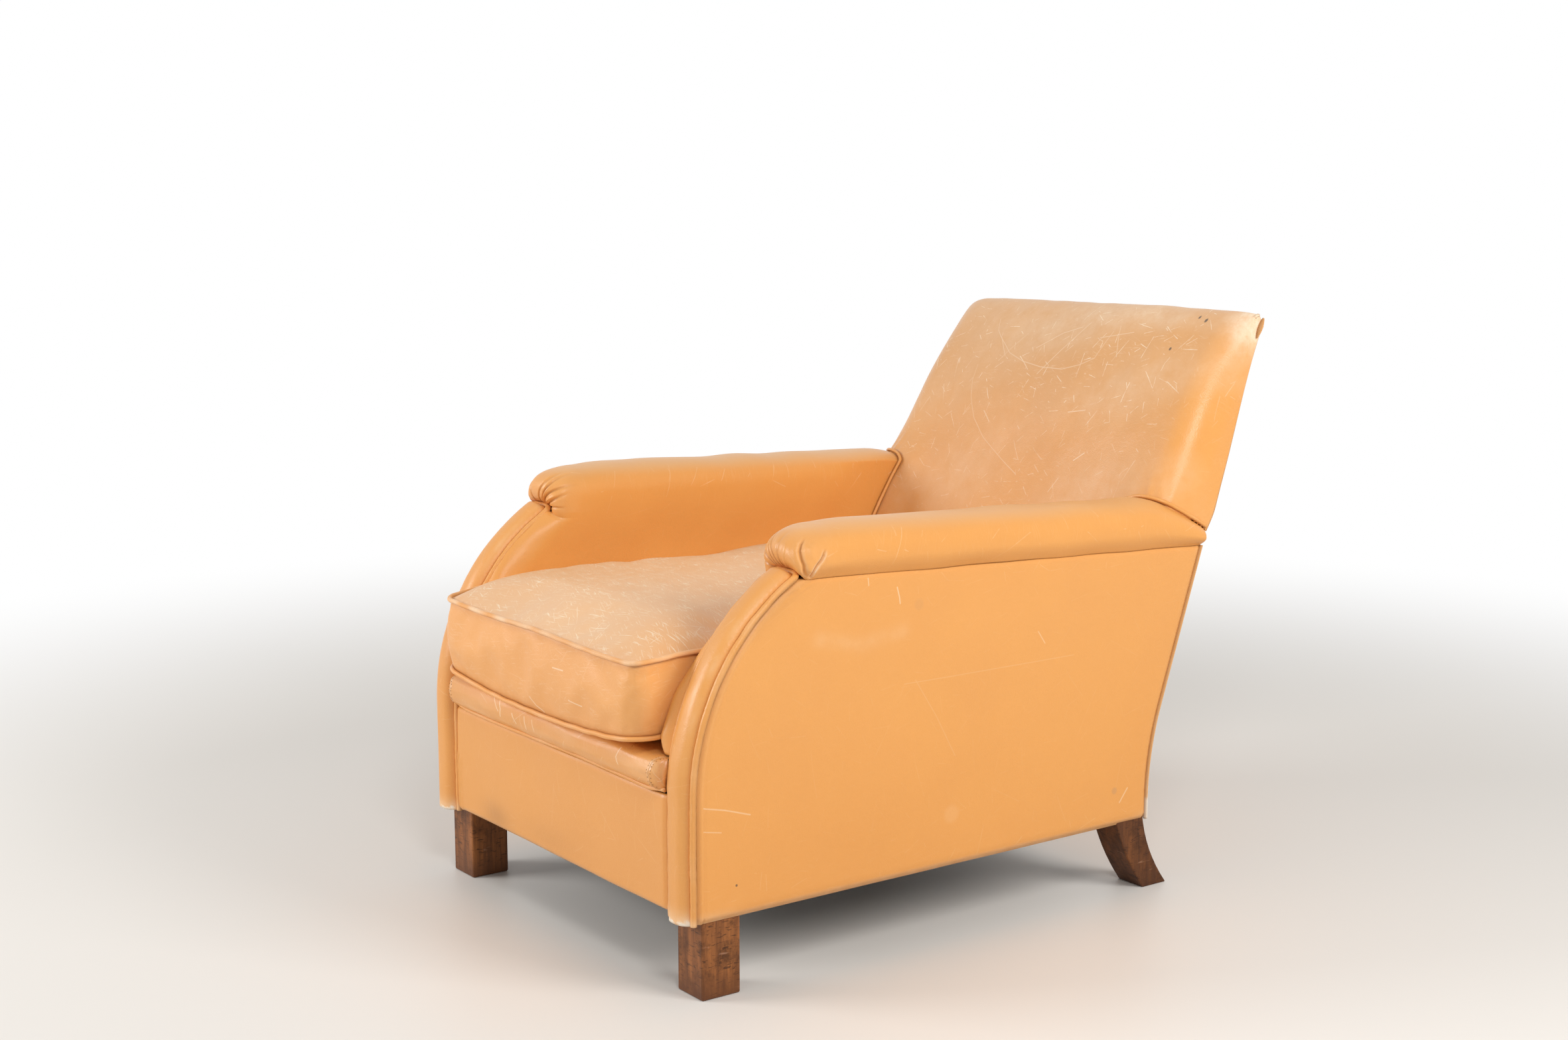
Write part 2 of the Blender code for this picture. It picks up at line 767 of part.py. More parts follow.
# The plan of the cushion: a rounded rectangle, its corners tighter towards the top seam
def cushion_plan(grow=0.0, share=0.0):
    half = cushion_half_width + grow
    front = cushion_front - grow
    rear = cushion_rear + grow
    radius = cushion_corner + (cushion_top_corner - cushion_corner) * share + grow
    points = []
    corners = ((1, 1, 0), (-1, 1, 90), (-1, -1, 180), (1, -1, 270))
    for sx, sy, start in corners:
        for i in range(5):
            angle = math.radians(start + 22.5 * i)
            x = sx * (half - radius) + radius * math.cos(angle)
            y = (rear - radius if sy > 0 else front + radius) + radius * math.sin(angle)
            points.append((x, y))
        if sx == 1 and sy == -1 or sx == -1 and sy == 1:
            points += [(sx * half, y) for y in (steps(front + radius, rear - radius, 4)[1:-1][::sx])]
        if sx == -1 and sy == -1:
            points += [(x, front) for x in steps(-half + radius, half - radius, 4)[1:-1]]
        if sx == 1 and sy == 1:
            points += [(x, rear) for x in steps(half - radius, -half + radius, 4)[1:-1]]
    return points


def corner_lift(x):
    return cushion_corner_lift * (x / cushion_half_width) ** 2


def seat_cushion():
    seam = piping_radius + 0.0012
    mid_y = (cushion_front + cushion_rear) / 2
    low = cushion_bottom
    high = cushion_bottom + cushion_side

    def ring(scale, z, lift=0.0):
        shrunk = [(x * scale, mid_y + (y - mid_y) * scale) for x, y in cushion_plan(0.0, 1.0 - lift)]
        return [(x, y, z + lift * corner_lift(x)) for x, y in shrunk]

    def grown(out, z, lift):
        return [(x, y, z + lift * corner_lift(x)) for x, y in cushion_plan(out, 1.0 - lift)]

    bulge = cushion_belly
    rings = [ring(s, low - 0.002 * (1 - s), 1.0) for s in (0.30, 0.70, 0.93)]
    rings.append(grown(-seam, low, 1.0))
    rings.append(grown(-seam * 0.15, low + seam, 1.0))
    rings += [grown(bulge * 0.8, low + cushion_side * at, 1.0 - at) for at in (0.3, 0.7)]
    rings.append(grown(-seam * 0.15, high - seam, 0.0))
    rings.append(grown(-seam, high, 0.0))
    scales = (0.97, 0.93, 0.86, 0.74, 0.50, 0.25)
    rings += [ring(s, high + cushion_crown * (1 - s ** cushion_fullness)) for s in scales]
    place(loft("seat_cushion", rings), leather_pale, 0.5)
    pipings = (
        ("cushion_piping_bottom", low - seam * 0.2, 1.0),
        ("cushion_piping_top", high + seam * 0.2, 0.0),
    )
    for name, z, lift in pipings:
        outline = cushion_plan(cushion_piping_proud, 1.0 - lift)
        points = [(x, y, z + lift * corner_lift(x)) for x, y in outline]
        place(tube(name, points, piping_radius, True), leather_pale, 0.5)


# Back

# The side view of the padded back, each point with its share of the edge rounding
def back_profile():
    points = [(back_front(roll_top), roll_top + 0.002, 1.0)]
    for z in steps(back_upright_below, back_round_height, 4):
        points.append((back_front(z), z, 1.0))
    start = (back_front(back_round_height), back_round_height)
    rise = back_top - back_round_height
    bend = (start[0] + back_front_slope * rise, back_top)
    crest = (back_crest_y, back_top)
    for t in steps(0, 1, 5)[1:]:
        y = (1 - t) ** 2 * start[0] + 2 * t * (1 - t) * bend[0] + t * t * crest[0]
        z = (1 - t) ** 2 * start[1] + 2 * t * (1 - t) * bend[1] + t * t * crest[1]
        points.append((y, z, 1.0 - 0.92 * t))
    end = rear_line(back_rear_top) - leather - gap
    points.append((end - 0.003, back_top - 0.004, 0.05))
    for z in reversed(rear_heights(roll_top + 0.002, back_rear_top)):
        points.append((rear_line(z) - leather - gap, z, 0.0))
    return points


def inside_back():
    profile = back_profile()
    count = len(profile)
    normals = []
    for i in range(count):
        before = profile[i - 1]
        after = profile[(i + 1) % count]
        dy, dz = after[0] - before[0], after[1] - before[1]
        length = math.hypot(dy, dz)
        normals.append((-dz / length, dy / length))
    radius = back_edge_radius
    flat = back_half_width - radius
    stations = [(x, 0.0) for x in (0.0, 0.14, 0.215)]
    for angle in (0, 28, 52, 74, 90):
        turn = math.radians(angle)
        stations.append((flat + radius * math.sin(turn), radius * (1 - math.cos(turn))))
    stations = [(-x, e) for x, e in reversed(stations[1:])] + stations
    sections = []
    for x, edge in stations:
        section = []
        for (y, z, weight), (ny, nz) in zip(profile, normals):
            inset = weight * (edge + back_crown * (x / back_half_width) ** 2)
            width = x * back_width(z) / back_half_width
            section.append((width, y - ny * inset, z - nz * inset))
        sections.append(section)
    back = loft("inside_back", sections)
    cut(back, frame_cutter())
    for side, sign in sides.items():
        cut(back, arm_cutter(f"back_notch_{side}", sign))
    place(back, leather_pale, 0.5)


# Room for the frame of the back, open at the rear
def frame_cutter():
    half = frame_inner + back_post_width + gap
    heights = [roll_top - 0.02] + rear_heights(roll_top, back_post_top + gap)
    rear = [(rear_line(z) + 0.02, z) for z in heights]
    front = [(rear_line(z) - leather - 2 * gap - back_post_depth, z) for z in reversed(heights)]
    return loft("back_frame_pocket", [[(x, y, z) for y, z in rear + front] for x in (-half, half)])


# Between the top of an arm and the back that laps over it: room for the piping
def lap_room():
    return 2 * piping_radius + 4 * gap


# Room for an arm: the arm's own section, drawn down and outward
def arm_cutter(name, sign):
    sections = []
    low = roll_top - 0.05
    far_x = body_half_width + 0.03
    inner = arm_inner - 0.0010
    far_y = rear_line(sweep_start) + 0.05
    inward = 0.0015
    grow = (lap_room() + inward) / 2
    for y in [back_front(0) - 0.06] + steps(arm_lap_front, far_y, 6):
        seam = seam_height(y)
        top = arm_top(y) + lap_room()
        arc = arm_section(y, seam, top, arm_pad_half_width + grow)[2:-1]
        arc = [(x + grow - inward, y, z) for x, y, z in arc]
        section = [(far_x, y, low), (far_x, y, arc[0][2])] + arc + [(inner, y, seam), (inner, y, low)]
        sections.append(section)
    return loft(name, [[(x * sign, y, z) for x, y, z in section] for section in sections])


def outside_back():
    heights = rear_heights(cover_bottom, back_rear_top)
    rows = []
    seam = rear_seam_height()
    low_half = body_half_width - leather - piping_radius - 2 * gap
    heights = [z for z in heights if z < seam - 0.01 or z > seam + 0.01] + [seam, seam + 0.004]
    for z in sorted(heights):
        half = low_half if z <= seam else back_width(z)
        rows.append([(x, rear_line(z) - leather / 2, z) for x in (half, half / 3, -half / 3, -half)])
    place(sheet("outside_back", rows, leather * 0.96), leather_tan, 0.45)


# Piping in the rear corners of the body, from the bottom to the arm seam
def rear_pipings():
    top = rear_seam_height() - 4 * gap
    for side, sign in sides.items():
        x = (body_half_width - leather) * sign
        points = [(x, rear_line(z) - piping_radius * 0.25, z) for z in rear_heights(cover_bottom, top)]
        place(tube(f"rear_piping_{side}", points, piping_radius), leather_tan, 0.45)


# Height of an arm pad's top surface
def arm_surface(x, y):
    across = min(1.0, abs(x - arm_centre()) / arm_pad_half_width) ** (1 / 0.82)
    up = math.sqrt(max(0.0, 1 - across * across)) ** 0.82
    bottom = seam_height(y)
    return bottom + (arm_top(y) - bottom) * (0.35 + 0.65 * up)


# Front of the back at a place across the chair, with its crown and rounded edge
def back_surface(x, z):
    flat = back_half_width - back_edge_radius
    over = min(back_edge_radius, max(0.0, x - flat))
    edge = back_edge_radius - math.sqrt(back_edge_radius ** 2 - over ** 2)
    crown = back_crown * (x / back_half_width) ** 2
    return back_front(z) + (edge + crown) * math.hypot(1, back_front_slope)


# Piping between the back and an arm: up the inside of the arm, over its top, and
# along its outer shoulder to the rear corner
def back_side_pipings():
    rise = piping_radius + 2 * gap
    forward = rise * math.hypot(1, back_front_slope)
    seam = seam_height(arm_lap_front)
    points = []
    for z in steps(cushion_bottom + cushion_side + 0.010, seam - 0.012, 2):
        x = arm_inner - rise
        points.append((x, back_surface(x, z) - forward, z))
    for angle in (180, 156, 130, 108, 90, 78, 68):
        turn = math.radians(angle)
        across = math.copysign(abs(math.cos(turn)) ** 0.82, math.cos(turn))
        up = math.sin(turn) ** 0.82
        x = arm_centre() + (arm_pad_half_width + rise) * across
        y = arm_lap_front
        for _ in range(3):
            height = arm_top(y) - seam_height(y)
            z = seam_height(y) + height * (0.35 + 0.65 * up) + rise * up
            y = back_surface(x, z) - forward
        points.append((x, y, z))
    first = points[-1]
    z_end = arm_surface(back_half_width, rear_line(sweep_start)) + rise
    last = rear_line(z_end) - leather - piping_radius
    for y in steps(first[1], last, 5)[1:]:
        share = (y - first[1]) / (last - first[1])
        x = first[0] + (back_half_width - first[0]) * min(1.0, 2.2 * share)
        points.append((x, y, arm_surface(x, y) + rise))
    for side, sign in sides.items():
        mirrored = [(x * sign, y, z) for x, y, z in points]
        place(tube(f"back_side_piping_{side}", mirrored, piping_radius), leather_tan, 0.45)


def main():
    front_legs()
    rear_legs()
    frame_rails()
    front_posts()
    back_posts()
    back_rails()
    arm_rails()
    corner_blocks()
    seat_webbing()
    back_webbing()
    springs()
    seat_deck()
    front_roll()
    front_apron()
    dust_cover()
    outside_arms()
    inside_arms()
    arm_pads()
    arm_facings()
    facing_welts()
    seat_cushion()
    inside_back()
    outside_back()
    rear_pipings()
    back_side_pipings()
    chair_front = cushion_front - cushion_piping_proud - piping_radius
    chair_rear = rear_line(back_rear_top)
    centre.location.y = -(chair_front + chair_rear) / 2


main()
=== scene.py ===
import math

import bmesh
import bpy
import numpy as np
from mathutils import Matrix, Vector


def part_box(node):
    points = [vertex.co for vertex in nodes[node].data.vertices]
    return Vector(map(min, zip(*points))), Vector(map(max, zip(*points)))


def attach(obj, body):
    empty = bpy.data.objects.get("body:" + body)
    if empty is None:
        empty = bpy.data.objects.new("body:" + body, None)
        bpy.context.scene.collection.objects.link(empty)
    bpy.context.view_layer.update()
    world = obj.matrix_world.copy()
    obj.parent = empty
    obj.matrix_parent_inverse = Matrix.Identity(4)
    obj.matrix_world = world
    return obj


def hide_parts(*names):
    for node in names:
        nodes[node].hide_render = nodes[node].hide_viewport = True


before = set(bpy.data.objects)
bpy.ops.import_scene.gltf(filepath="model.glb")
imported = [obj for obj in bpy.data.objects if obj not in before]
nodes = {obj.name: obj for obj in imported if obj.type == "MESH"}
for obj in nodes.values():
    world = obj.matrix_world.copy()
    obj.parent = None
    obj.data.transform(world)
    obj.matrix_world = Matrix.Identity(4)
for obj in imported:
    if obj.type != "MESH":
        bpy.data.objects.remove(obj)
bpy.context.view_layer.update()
print("frame loaded")

# Lines that several pieces follow, in metres. X runs across the chair and Z up.
# Y is counted from the front faces of the front legs, and every mesh is moved by
# rowY when it is made
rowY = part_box("front_leg_left")[0].y
chair = {
    "half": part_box("outside_arm_left")[1].x,
    "coverBottom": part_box("outside_arm_left")[0].z,
    "armInner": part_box("inside_arm_left")[0].x,
    "seatTop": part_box("seat_front_roll")[1].z,
    "frontLine": -0.020, "arcStart": 0.250, "arcRadius": 0.300, "arcAngle": math.radians(62.5),
    "seamY": 0.150, "seamZ": 0.5045, "seamSlope": -0.0485,
    "rearY": 0.730, "rakeStart": 0.130, "rakeEnd": 0.258, "rakeSlope": 0.333,
    "sweepStart": 0.500, "sweepEnd": 0.757, "sweepBack": 0.0238,
    "backY": 0.757, "backZ": 0.534, "backSlope": 0.578, "backTop": 0.771, "backCrest": 0.930,
    "backUpright": 0.380, "bellyDepth": 0.0125, "bellyHeight": 0.645, "bellyWide": 0.085,
    "padHeight": 0.064, "padHalf": 0.046, "padCentre": 0.284, "lapFront": 0.700, "lapDrop": 0.0515,
    "welt": 0.0042, "piping": 0.0030, "facingCentre": 0.2925, "weltReach": 0.0241,
}
chair["frontStraight"] = chair["arcStart"] - chair["coverBottom"]
chair["frontLength"] = chair["frontStraight"] + chair["arcRadius"] * chair["arcAngle"]
sides = {"left": 1, "right": -1}

# Helpers that work on whole arrays


# Coordinates of any shapes that fit together, stacked into one array of points
def grid(*parts):
    return np.stack(np.broadcast_arrays(*parts), axis=-1)


# Arrays joined end to end
def join(*parts, axis=0):
    return np.concatenate(parts, axis=axis)


# Keeps a value between 0 and 1
def clamp(value):
    return np.clip(value, 0, 1)


# Vectors scaled to a length of 1
def unit(vectors):
    return vectors / np.maximum(np.linalg.norm(vectors, axis=-1, keepdims=True), 1e-12)


# A power that keeps the sign: on a cosine or sine it squares a circle's corners
def signedPower(value, power):
    return np.sign(value) * np.abs(value) ** power


# Rises smoothly from 0 at low to 1 at high
def ease(value, low, high):
    t = clamp((np.asarray(value, float) - low) / (high - low))
    return t * t * (3 - 2 * t)


# A hump of height 1 and half width wide
def hump(value, wide):
    return np.exp(-(np.asarray(value, float) / wide) ** 2)


# Soft random relief: a sum of sine waves, each with its own direction, length and phase
def waves(points, length, seed, count=9):
    rng = np.random.default_rng(seed)
    direction = rng.normal(size=(count, 3))
    direction /= np.linalg.norm(direction, axis=1)[:, None]
    number = 2 * np.pi / (length * rng.uniform(0.7, 1.5, count))
    turn = points @ (direction * number[:, None]).T + rng.uniform(0, 2 * np.pi, count)
    return np.sin(turn).sum(axis=-1) / math.sqrt(count)


# Normals of a grid: the cross product of its two directions
def gridNormals(points):
    return unit(np.cross(np.gradient(points, axis=0), np.gradient(points, axis=1)))


# Length run along a polyline up to each of its points
def runningLength(line):
    return join([0], np.cumsum(np.linalg.norm(np.diff(line, axis=0), axis=1)))


# Points of a polyline at given lengths along it
def pointsAt(line, length, at):
    return grid(*(np.interp(at, length, column) for column in line.T))


# Distance from points to a polyline, and the share of its length where each is nearest
def nearLine(points, line):
    line = np.asarray(line, float)
    best = np.full(points.shape[:-1], 9.0)
    share = np.zeros(points.shape[:-1])
    starts = runningLength(line)
    for first, second, start, end in zip(line, line[1:], starts, starts[1:]):
        step = second - first
        t = clamp((points - first) @ step / (step @ step))
        distance = np.linalg.norm(points - first - t[..., None] * step, axis=-1)
        nearer = distance < best
        best = np.where(nearer, distance, best)
        share = np.where(nearer, (start + t * (end - start)) / starts[-1], share)
    return best, share


# Points spaced evenly along a polyline, its corners cut twice at a quarter of each stretch
def smoothLine(line, count):
    line = np.asarray(line, float)
    for _ in range(2):
        cut = np.empty((len(line) * 2 - 2, line.shape[1]))
        cut[0::2] = 0.75 * line[:-1] + 0.25 * line[1:]
        cut[1::2] = 0.25 * line[:-1] + 0.75 * line[1:]
        line = join(line[:1], cut, line[-1:])
    length = runningLength(line)
    return pointsAt(line, length, np.linspace(0, length[-1], count))


# Lines of the chair


# Point on an arm's front edge: straight up, then round an arc; out is counted outwards
def frontEdge(along, out):
    along, out = np.broadcast_arrays(np.asarray(along, float), np.asarray(out, float))
    angle = np.clip((along - chair["frontStraight"]) / chair["arcRadius"], 0, None)
    radius = chair["arcRadius"] + out
    y = chair["frontLine"] + chair["arcRadius"] - radius * np.cos(angle)
    z = chair["arcStart"] + radius * np.sin(angle)
    low = along < chair["frontStraight"]
    return np.where(low, chair["frontLine"] - out, y), np.where(low, chair["coverBottom"] + along, z)


# Outward direction of that edge in the YZ plane
def frontOutward(along):
    angle = np.clip((np.asarray(along, float) - chair["frontStraight"]) / chair["arcRadius"], 0, None)
    return grid(0 * angle, -np.cos(angle), np.sin(angle))


# Rear face of the chair: upright, then bending into a raked line, then sweeping back
def rearLine(z):
    z = np.maximum(z, chair["rakeStart"])
    bend = clamp((z - chair["rakeStart"]) / (chair["rakeEnd"] - chair["rakeStart"]))
    half = (chair["rakeEnd"] - chair["rakeStart"]) / 2
    sweep = np.maximum(z - chair["sweepStart"], 0) / (chair["sweepEnd"] - chair["sweepStart"])
    raked = bend ** 2 * half + np.maximum(z - chair["rakeEnd"], 0)
    return chair["rearY"] + chair["rakeSlope"] * raked + chair["sweepBack"] * sweep ** 2


# Height of the sloping seam between an arm's side leather and its top
def seamHeight(y):
    return chair["seamZ"] + chair["seamSlope"] * (y - chair["seamY"])


# Front of the back: a sloping line that stands upright low down, with a soft belly
def backFront(z):
    sloping = chair["backSlope"] * (np.maximum(z, chair["backUpright"]) - chair["backZ"])
    belly = chair["bellyDepth"] * hump(z - chair["bellyHeight"], chair["bellyWide"])
    return chair["backY"] + sloping - belly


# Top of an arm: the seam's height plus the pad's, falling under the lap of the back
def armTop(y):
    lapLength = rearLine(chair["sweepStart"]) - chair["lapFront"]
    lap = np.maximum(0, (y - chair["lapFront"]) / lapLength)
    return seamHeight(np.minimum(y, chair["lapFront"])) + chair["padHeight"] - chair["lapDrop"] * lap ** 1.9


# Making meshes

# Values that a leather's points have unless its piece says otherwise
plainLeather = {"rub": 0.0, "soilAndShade": 0.0, "fade": 0.1, "scuff": 0.5}


# Flattened leather coordinates of a grid: running lengths along its two directions
def cutOf(points):
    across = np.linalg.norm(np.diff(points, axis=1), axis=-1).mean(axis=0)
    along = np.linalg.norm(np.diff(points, axis=0), axis=-1).mean(axis=1)
    return grid(join([0], np.cumsum(across))[None], join([0], np.cumsum(along))[:, None], 0)


# Makes a mesh object from points and faces, moved to the chair's own frame, with faces
# turned away from the point inside, and with named values kept on its points
def makeMesh(name, points, faces, inside, values=None, cut=None):
    if cut is None and np.ndim(points) == 3:
        cut = cutOf(points)
    shape = np.shape(points)[:-1]
    points = np.asarray(points, float).reshape(-1, 3) + (0, rowY, 0)
    corner = points[faces]
    normal = np.cross(corner[:, 2] - corner[:, 0], corner[:, -1] - corner[:, 1])
    if np.einsum("ij,ij->i", normal, corner.mean(axis=1) - np.add(inside, (0, rowY, 0))).sum() < 0:
        faces = faces[:, ::-1]
    mesh = bpy.data.meshes.new(name)
    mesh.from_pydata(points.tolist(), [], faces.tolist())
    for key, value in (plainLeather | (values or {})).items():
        value = np.ascontiguousarray(np.broadcast_to(value, shape), np.float32)
        mesh.attributes.new(key, "FLOAT", "POINT").data.foreach_set("value", value.reshape(-1))
    cut = np.ascontiguousarray(points if cut is None else cut, np.float32)
    mesh.attributes.new("cut", "FLOAT_VECTOR", "POINT").data.foreach_set("vector", cut.reshape(-1))
    mesh.shade_smooth()
    mesh.update()
    obj = bpy.data.objects.new(name, mesh)
    bpy.context.scene.collection.objects.link(obj)
    return obj


# Turns every face of a closed mesh outwards; open ends can be filled first
def closeMesh(obj, fill=False):
    bm = bmesh.new()
    bm.from_mesh(obj.data)
    if fill:
        bmesh.ops.holes_fill(bm, edges=[edge for edge in bm.edges if edge.is_boundary], sides=0)
        bmesh.ops.triangulate(bm, faces=[face for face in bm.faces if len(face.verts) > 4])
    bmesh.ops.recalc_face_normals(bm, faces=bm.faces)
    bm.to_mesh(obj.data)
    bm.free()
    obj.data.shade_smooth()
    return obj


# Faces of a grid of points; closed joins the last column to the first
def gridFaces(rows, columns, closed=False):
    index = np.arange(rows * columns).reshape(rows, columns)
    if closed:
        index = join(index, index[:, :1], axis=1)
    return grid(index[:-1, :-1], index[:-1, 1:], index[1:, 1:], index[1:, :-1]).reshape(-1, 4)


# An open sheet of leather over a grid of points, with its thickness turned inwards
def makeSheet(name, points, inside, thickness=0.0022, values=None, keep=None):
    faces = gridFaces(*points.shape[:2])
    if keep is not None:
        faces = faces[keep[:-1, :-1].reshape(-1)]
    obj = makeMesh(name, points, faces, inside, values)
    solid = obj.modifiers.new("thickness", "SOLIDIFY")
    solid.thickness = thickness
    solid.offset = -1
    return obj


# A closed skin: rings of points joined in order, with a fan over each end
def makeRings(name, rings, inside, values=None):
    faces = gridFaces(*rings.shape[:2], closed=True)
    return closeMesh(makeMesh(name, rings, faces, inside, values), fill=True)


# A cord along a path: at each point a circle stands square to the path, turned by the
# direction given as up. Painted shade lies along its two sides, most on the side away from up,
# where the cord meets the leather; a value given once for each point of the path holds all round it
def makeCord(name, path, up, radius, values, count=12, closed=False):
    if closed:
        tangent = unit(np.roll(path, -1, axis=0) - np.roll(path, 1, axis=0))
    else:
        tangent = unit(np.gradient(path, axis=0))
    side = unit(np.cross(tangent, up))
    over = np.cross(side, tangent)
    turn = np.linspace(0, 2 * np.pi, count, endpoint=False)
    # Painted shade round the cord: darkest on the side away from up, less on the two flanks
    soilAndShade = np.broadcast_to(0.55 * clamp(0.45 - np.sin(turn)), (len(path), count))
    around = {key: value[:, None] if np.ndim(value) else value for key, value in values.items()}
    radius = np.broadcast_to(radius, (len(path),))[:, None, None]
    ring = np.cos(turn)[None, :, None] * side[:, None] + np.sin(turn)[None, :, None] * over[:, None]
    rings = path[:, None] + ring * radius
    if not closed:
        return makeRings(name, rings, path.mean(axis=0), {"soilAndShade": soilAndShade} | around)
    faces = gridFaces(len(path) + 1, count, closed=True) % (len(path) * count)
    return closeMesh(makeMesh(name, rings, faces, path.mean(axis=0), {"soilAndShade": soilAndShade} | around))


# Gives a piece its material, and puts it in place of its CAD nodes; the slot is not
# used, and nor is fill, which a padded piece gives for how full it is
def dress(obj, material, slot, *replaced, fill=None):
    obj.data.materials.clear()
    obj.data.materials.append(material)
    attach(obj, "root")
    if replaced:
        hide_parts(*replaced)


# Materials

leatherLook = {
    "body": {
        "base": (0.758, 0.334, 0.078), "deep": (0.672, 0.268, 0.055), "faded": (0.760, 0.420, 0.175),
        "pale": (0.900, 0.680, 0.440), "chip": (0.88, 0.77, 0.63), "chipFrom": 1.22, "rough": 0.38,
        "grain": 0.16, "scratch": 0.35, "gloss": 0.50, "stroke": 1.0, "hair": 0.2,
    },
    "seat": {
        "base": (0.790, 0.350, 0.088), "deep": (0.690, 0.280, 0.066), "faded": (0.810, 0.482, 0.252),
        "pale": (0.930, 0.750, 0.540), "chip": (0.88, 0.76, 0.62), "chipFrom": 1.42, "rough": 0.42,
        "grain": 0.18, "scratch": 0.72, "gloss": 0.42, "stroke": 0.75, "hair": 1.0,
    },
    "back": {
        "base": (0.780, 0.345, 0.078), "deep": (0.690, 0.280, 0.060), "faded": (0.670, 0.362, 0.152),
        "pale": (0.930, 0.760, 0.560), "chip": (0.88, 0.76, 0.62), "chipFrom": 1.66, "rough": 0.33,
        "grain": 0.18, "scratch": 1.0, "gloss": 0.60, "stroke": 0.62, "hair": 0.30,
    },
}


# What all leathers share. Noises: scale, detail and roughness. Ramps: gain and shift.
# Strokes: cell, length, width, turn, spread and shift. Fibres: turn, length, width, share
# left out, and shift
leatherPattern = {
    "dye": (4.0, 5.0, 0.6), "dyeRamp": (2.2, -0.75), "dyeShare": 0.55,
    "patches": (38.0, 9.0, 0.72), "patchRamp": (2.6, -0.8), "gaps": (4.0, -1.45),
    "strokes": ((0.085, 0.040, 0.0008, 0.9, 2.6, 3.7), (0.036, 0.017, 0.0007, 0.2, 3.0, 7.1)),
    "fibres": ((0.20, 0.040, 0.0022, 0.60, 1.7), (-0.35, 0.030, 0.0019, 0.61, 6.1)),
    # The soil tint also serves for painted shade along seams, in creases and beside pipings
    "chipSharpness": 9.0, "soilAndShade": (0.270, 0.115, 0.035), "pebbles": 560.0, "creases": (130.0, 4.0),
    "pebbleShare": 0.45, "bumpDepth": 0.0015, "roughPatches": 0.20, "roughWear": 0.25,
}


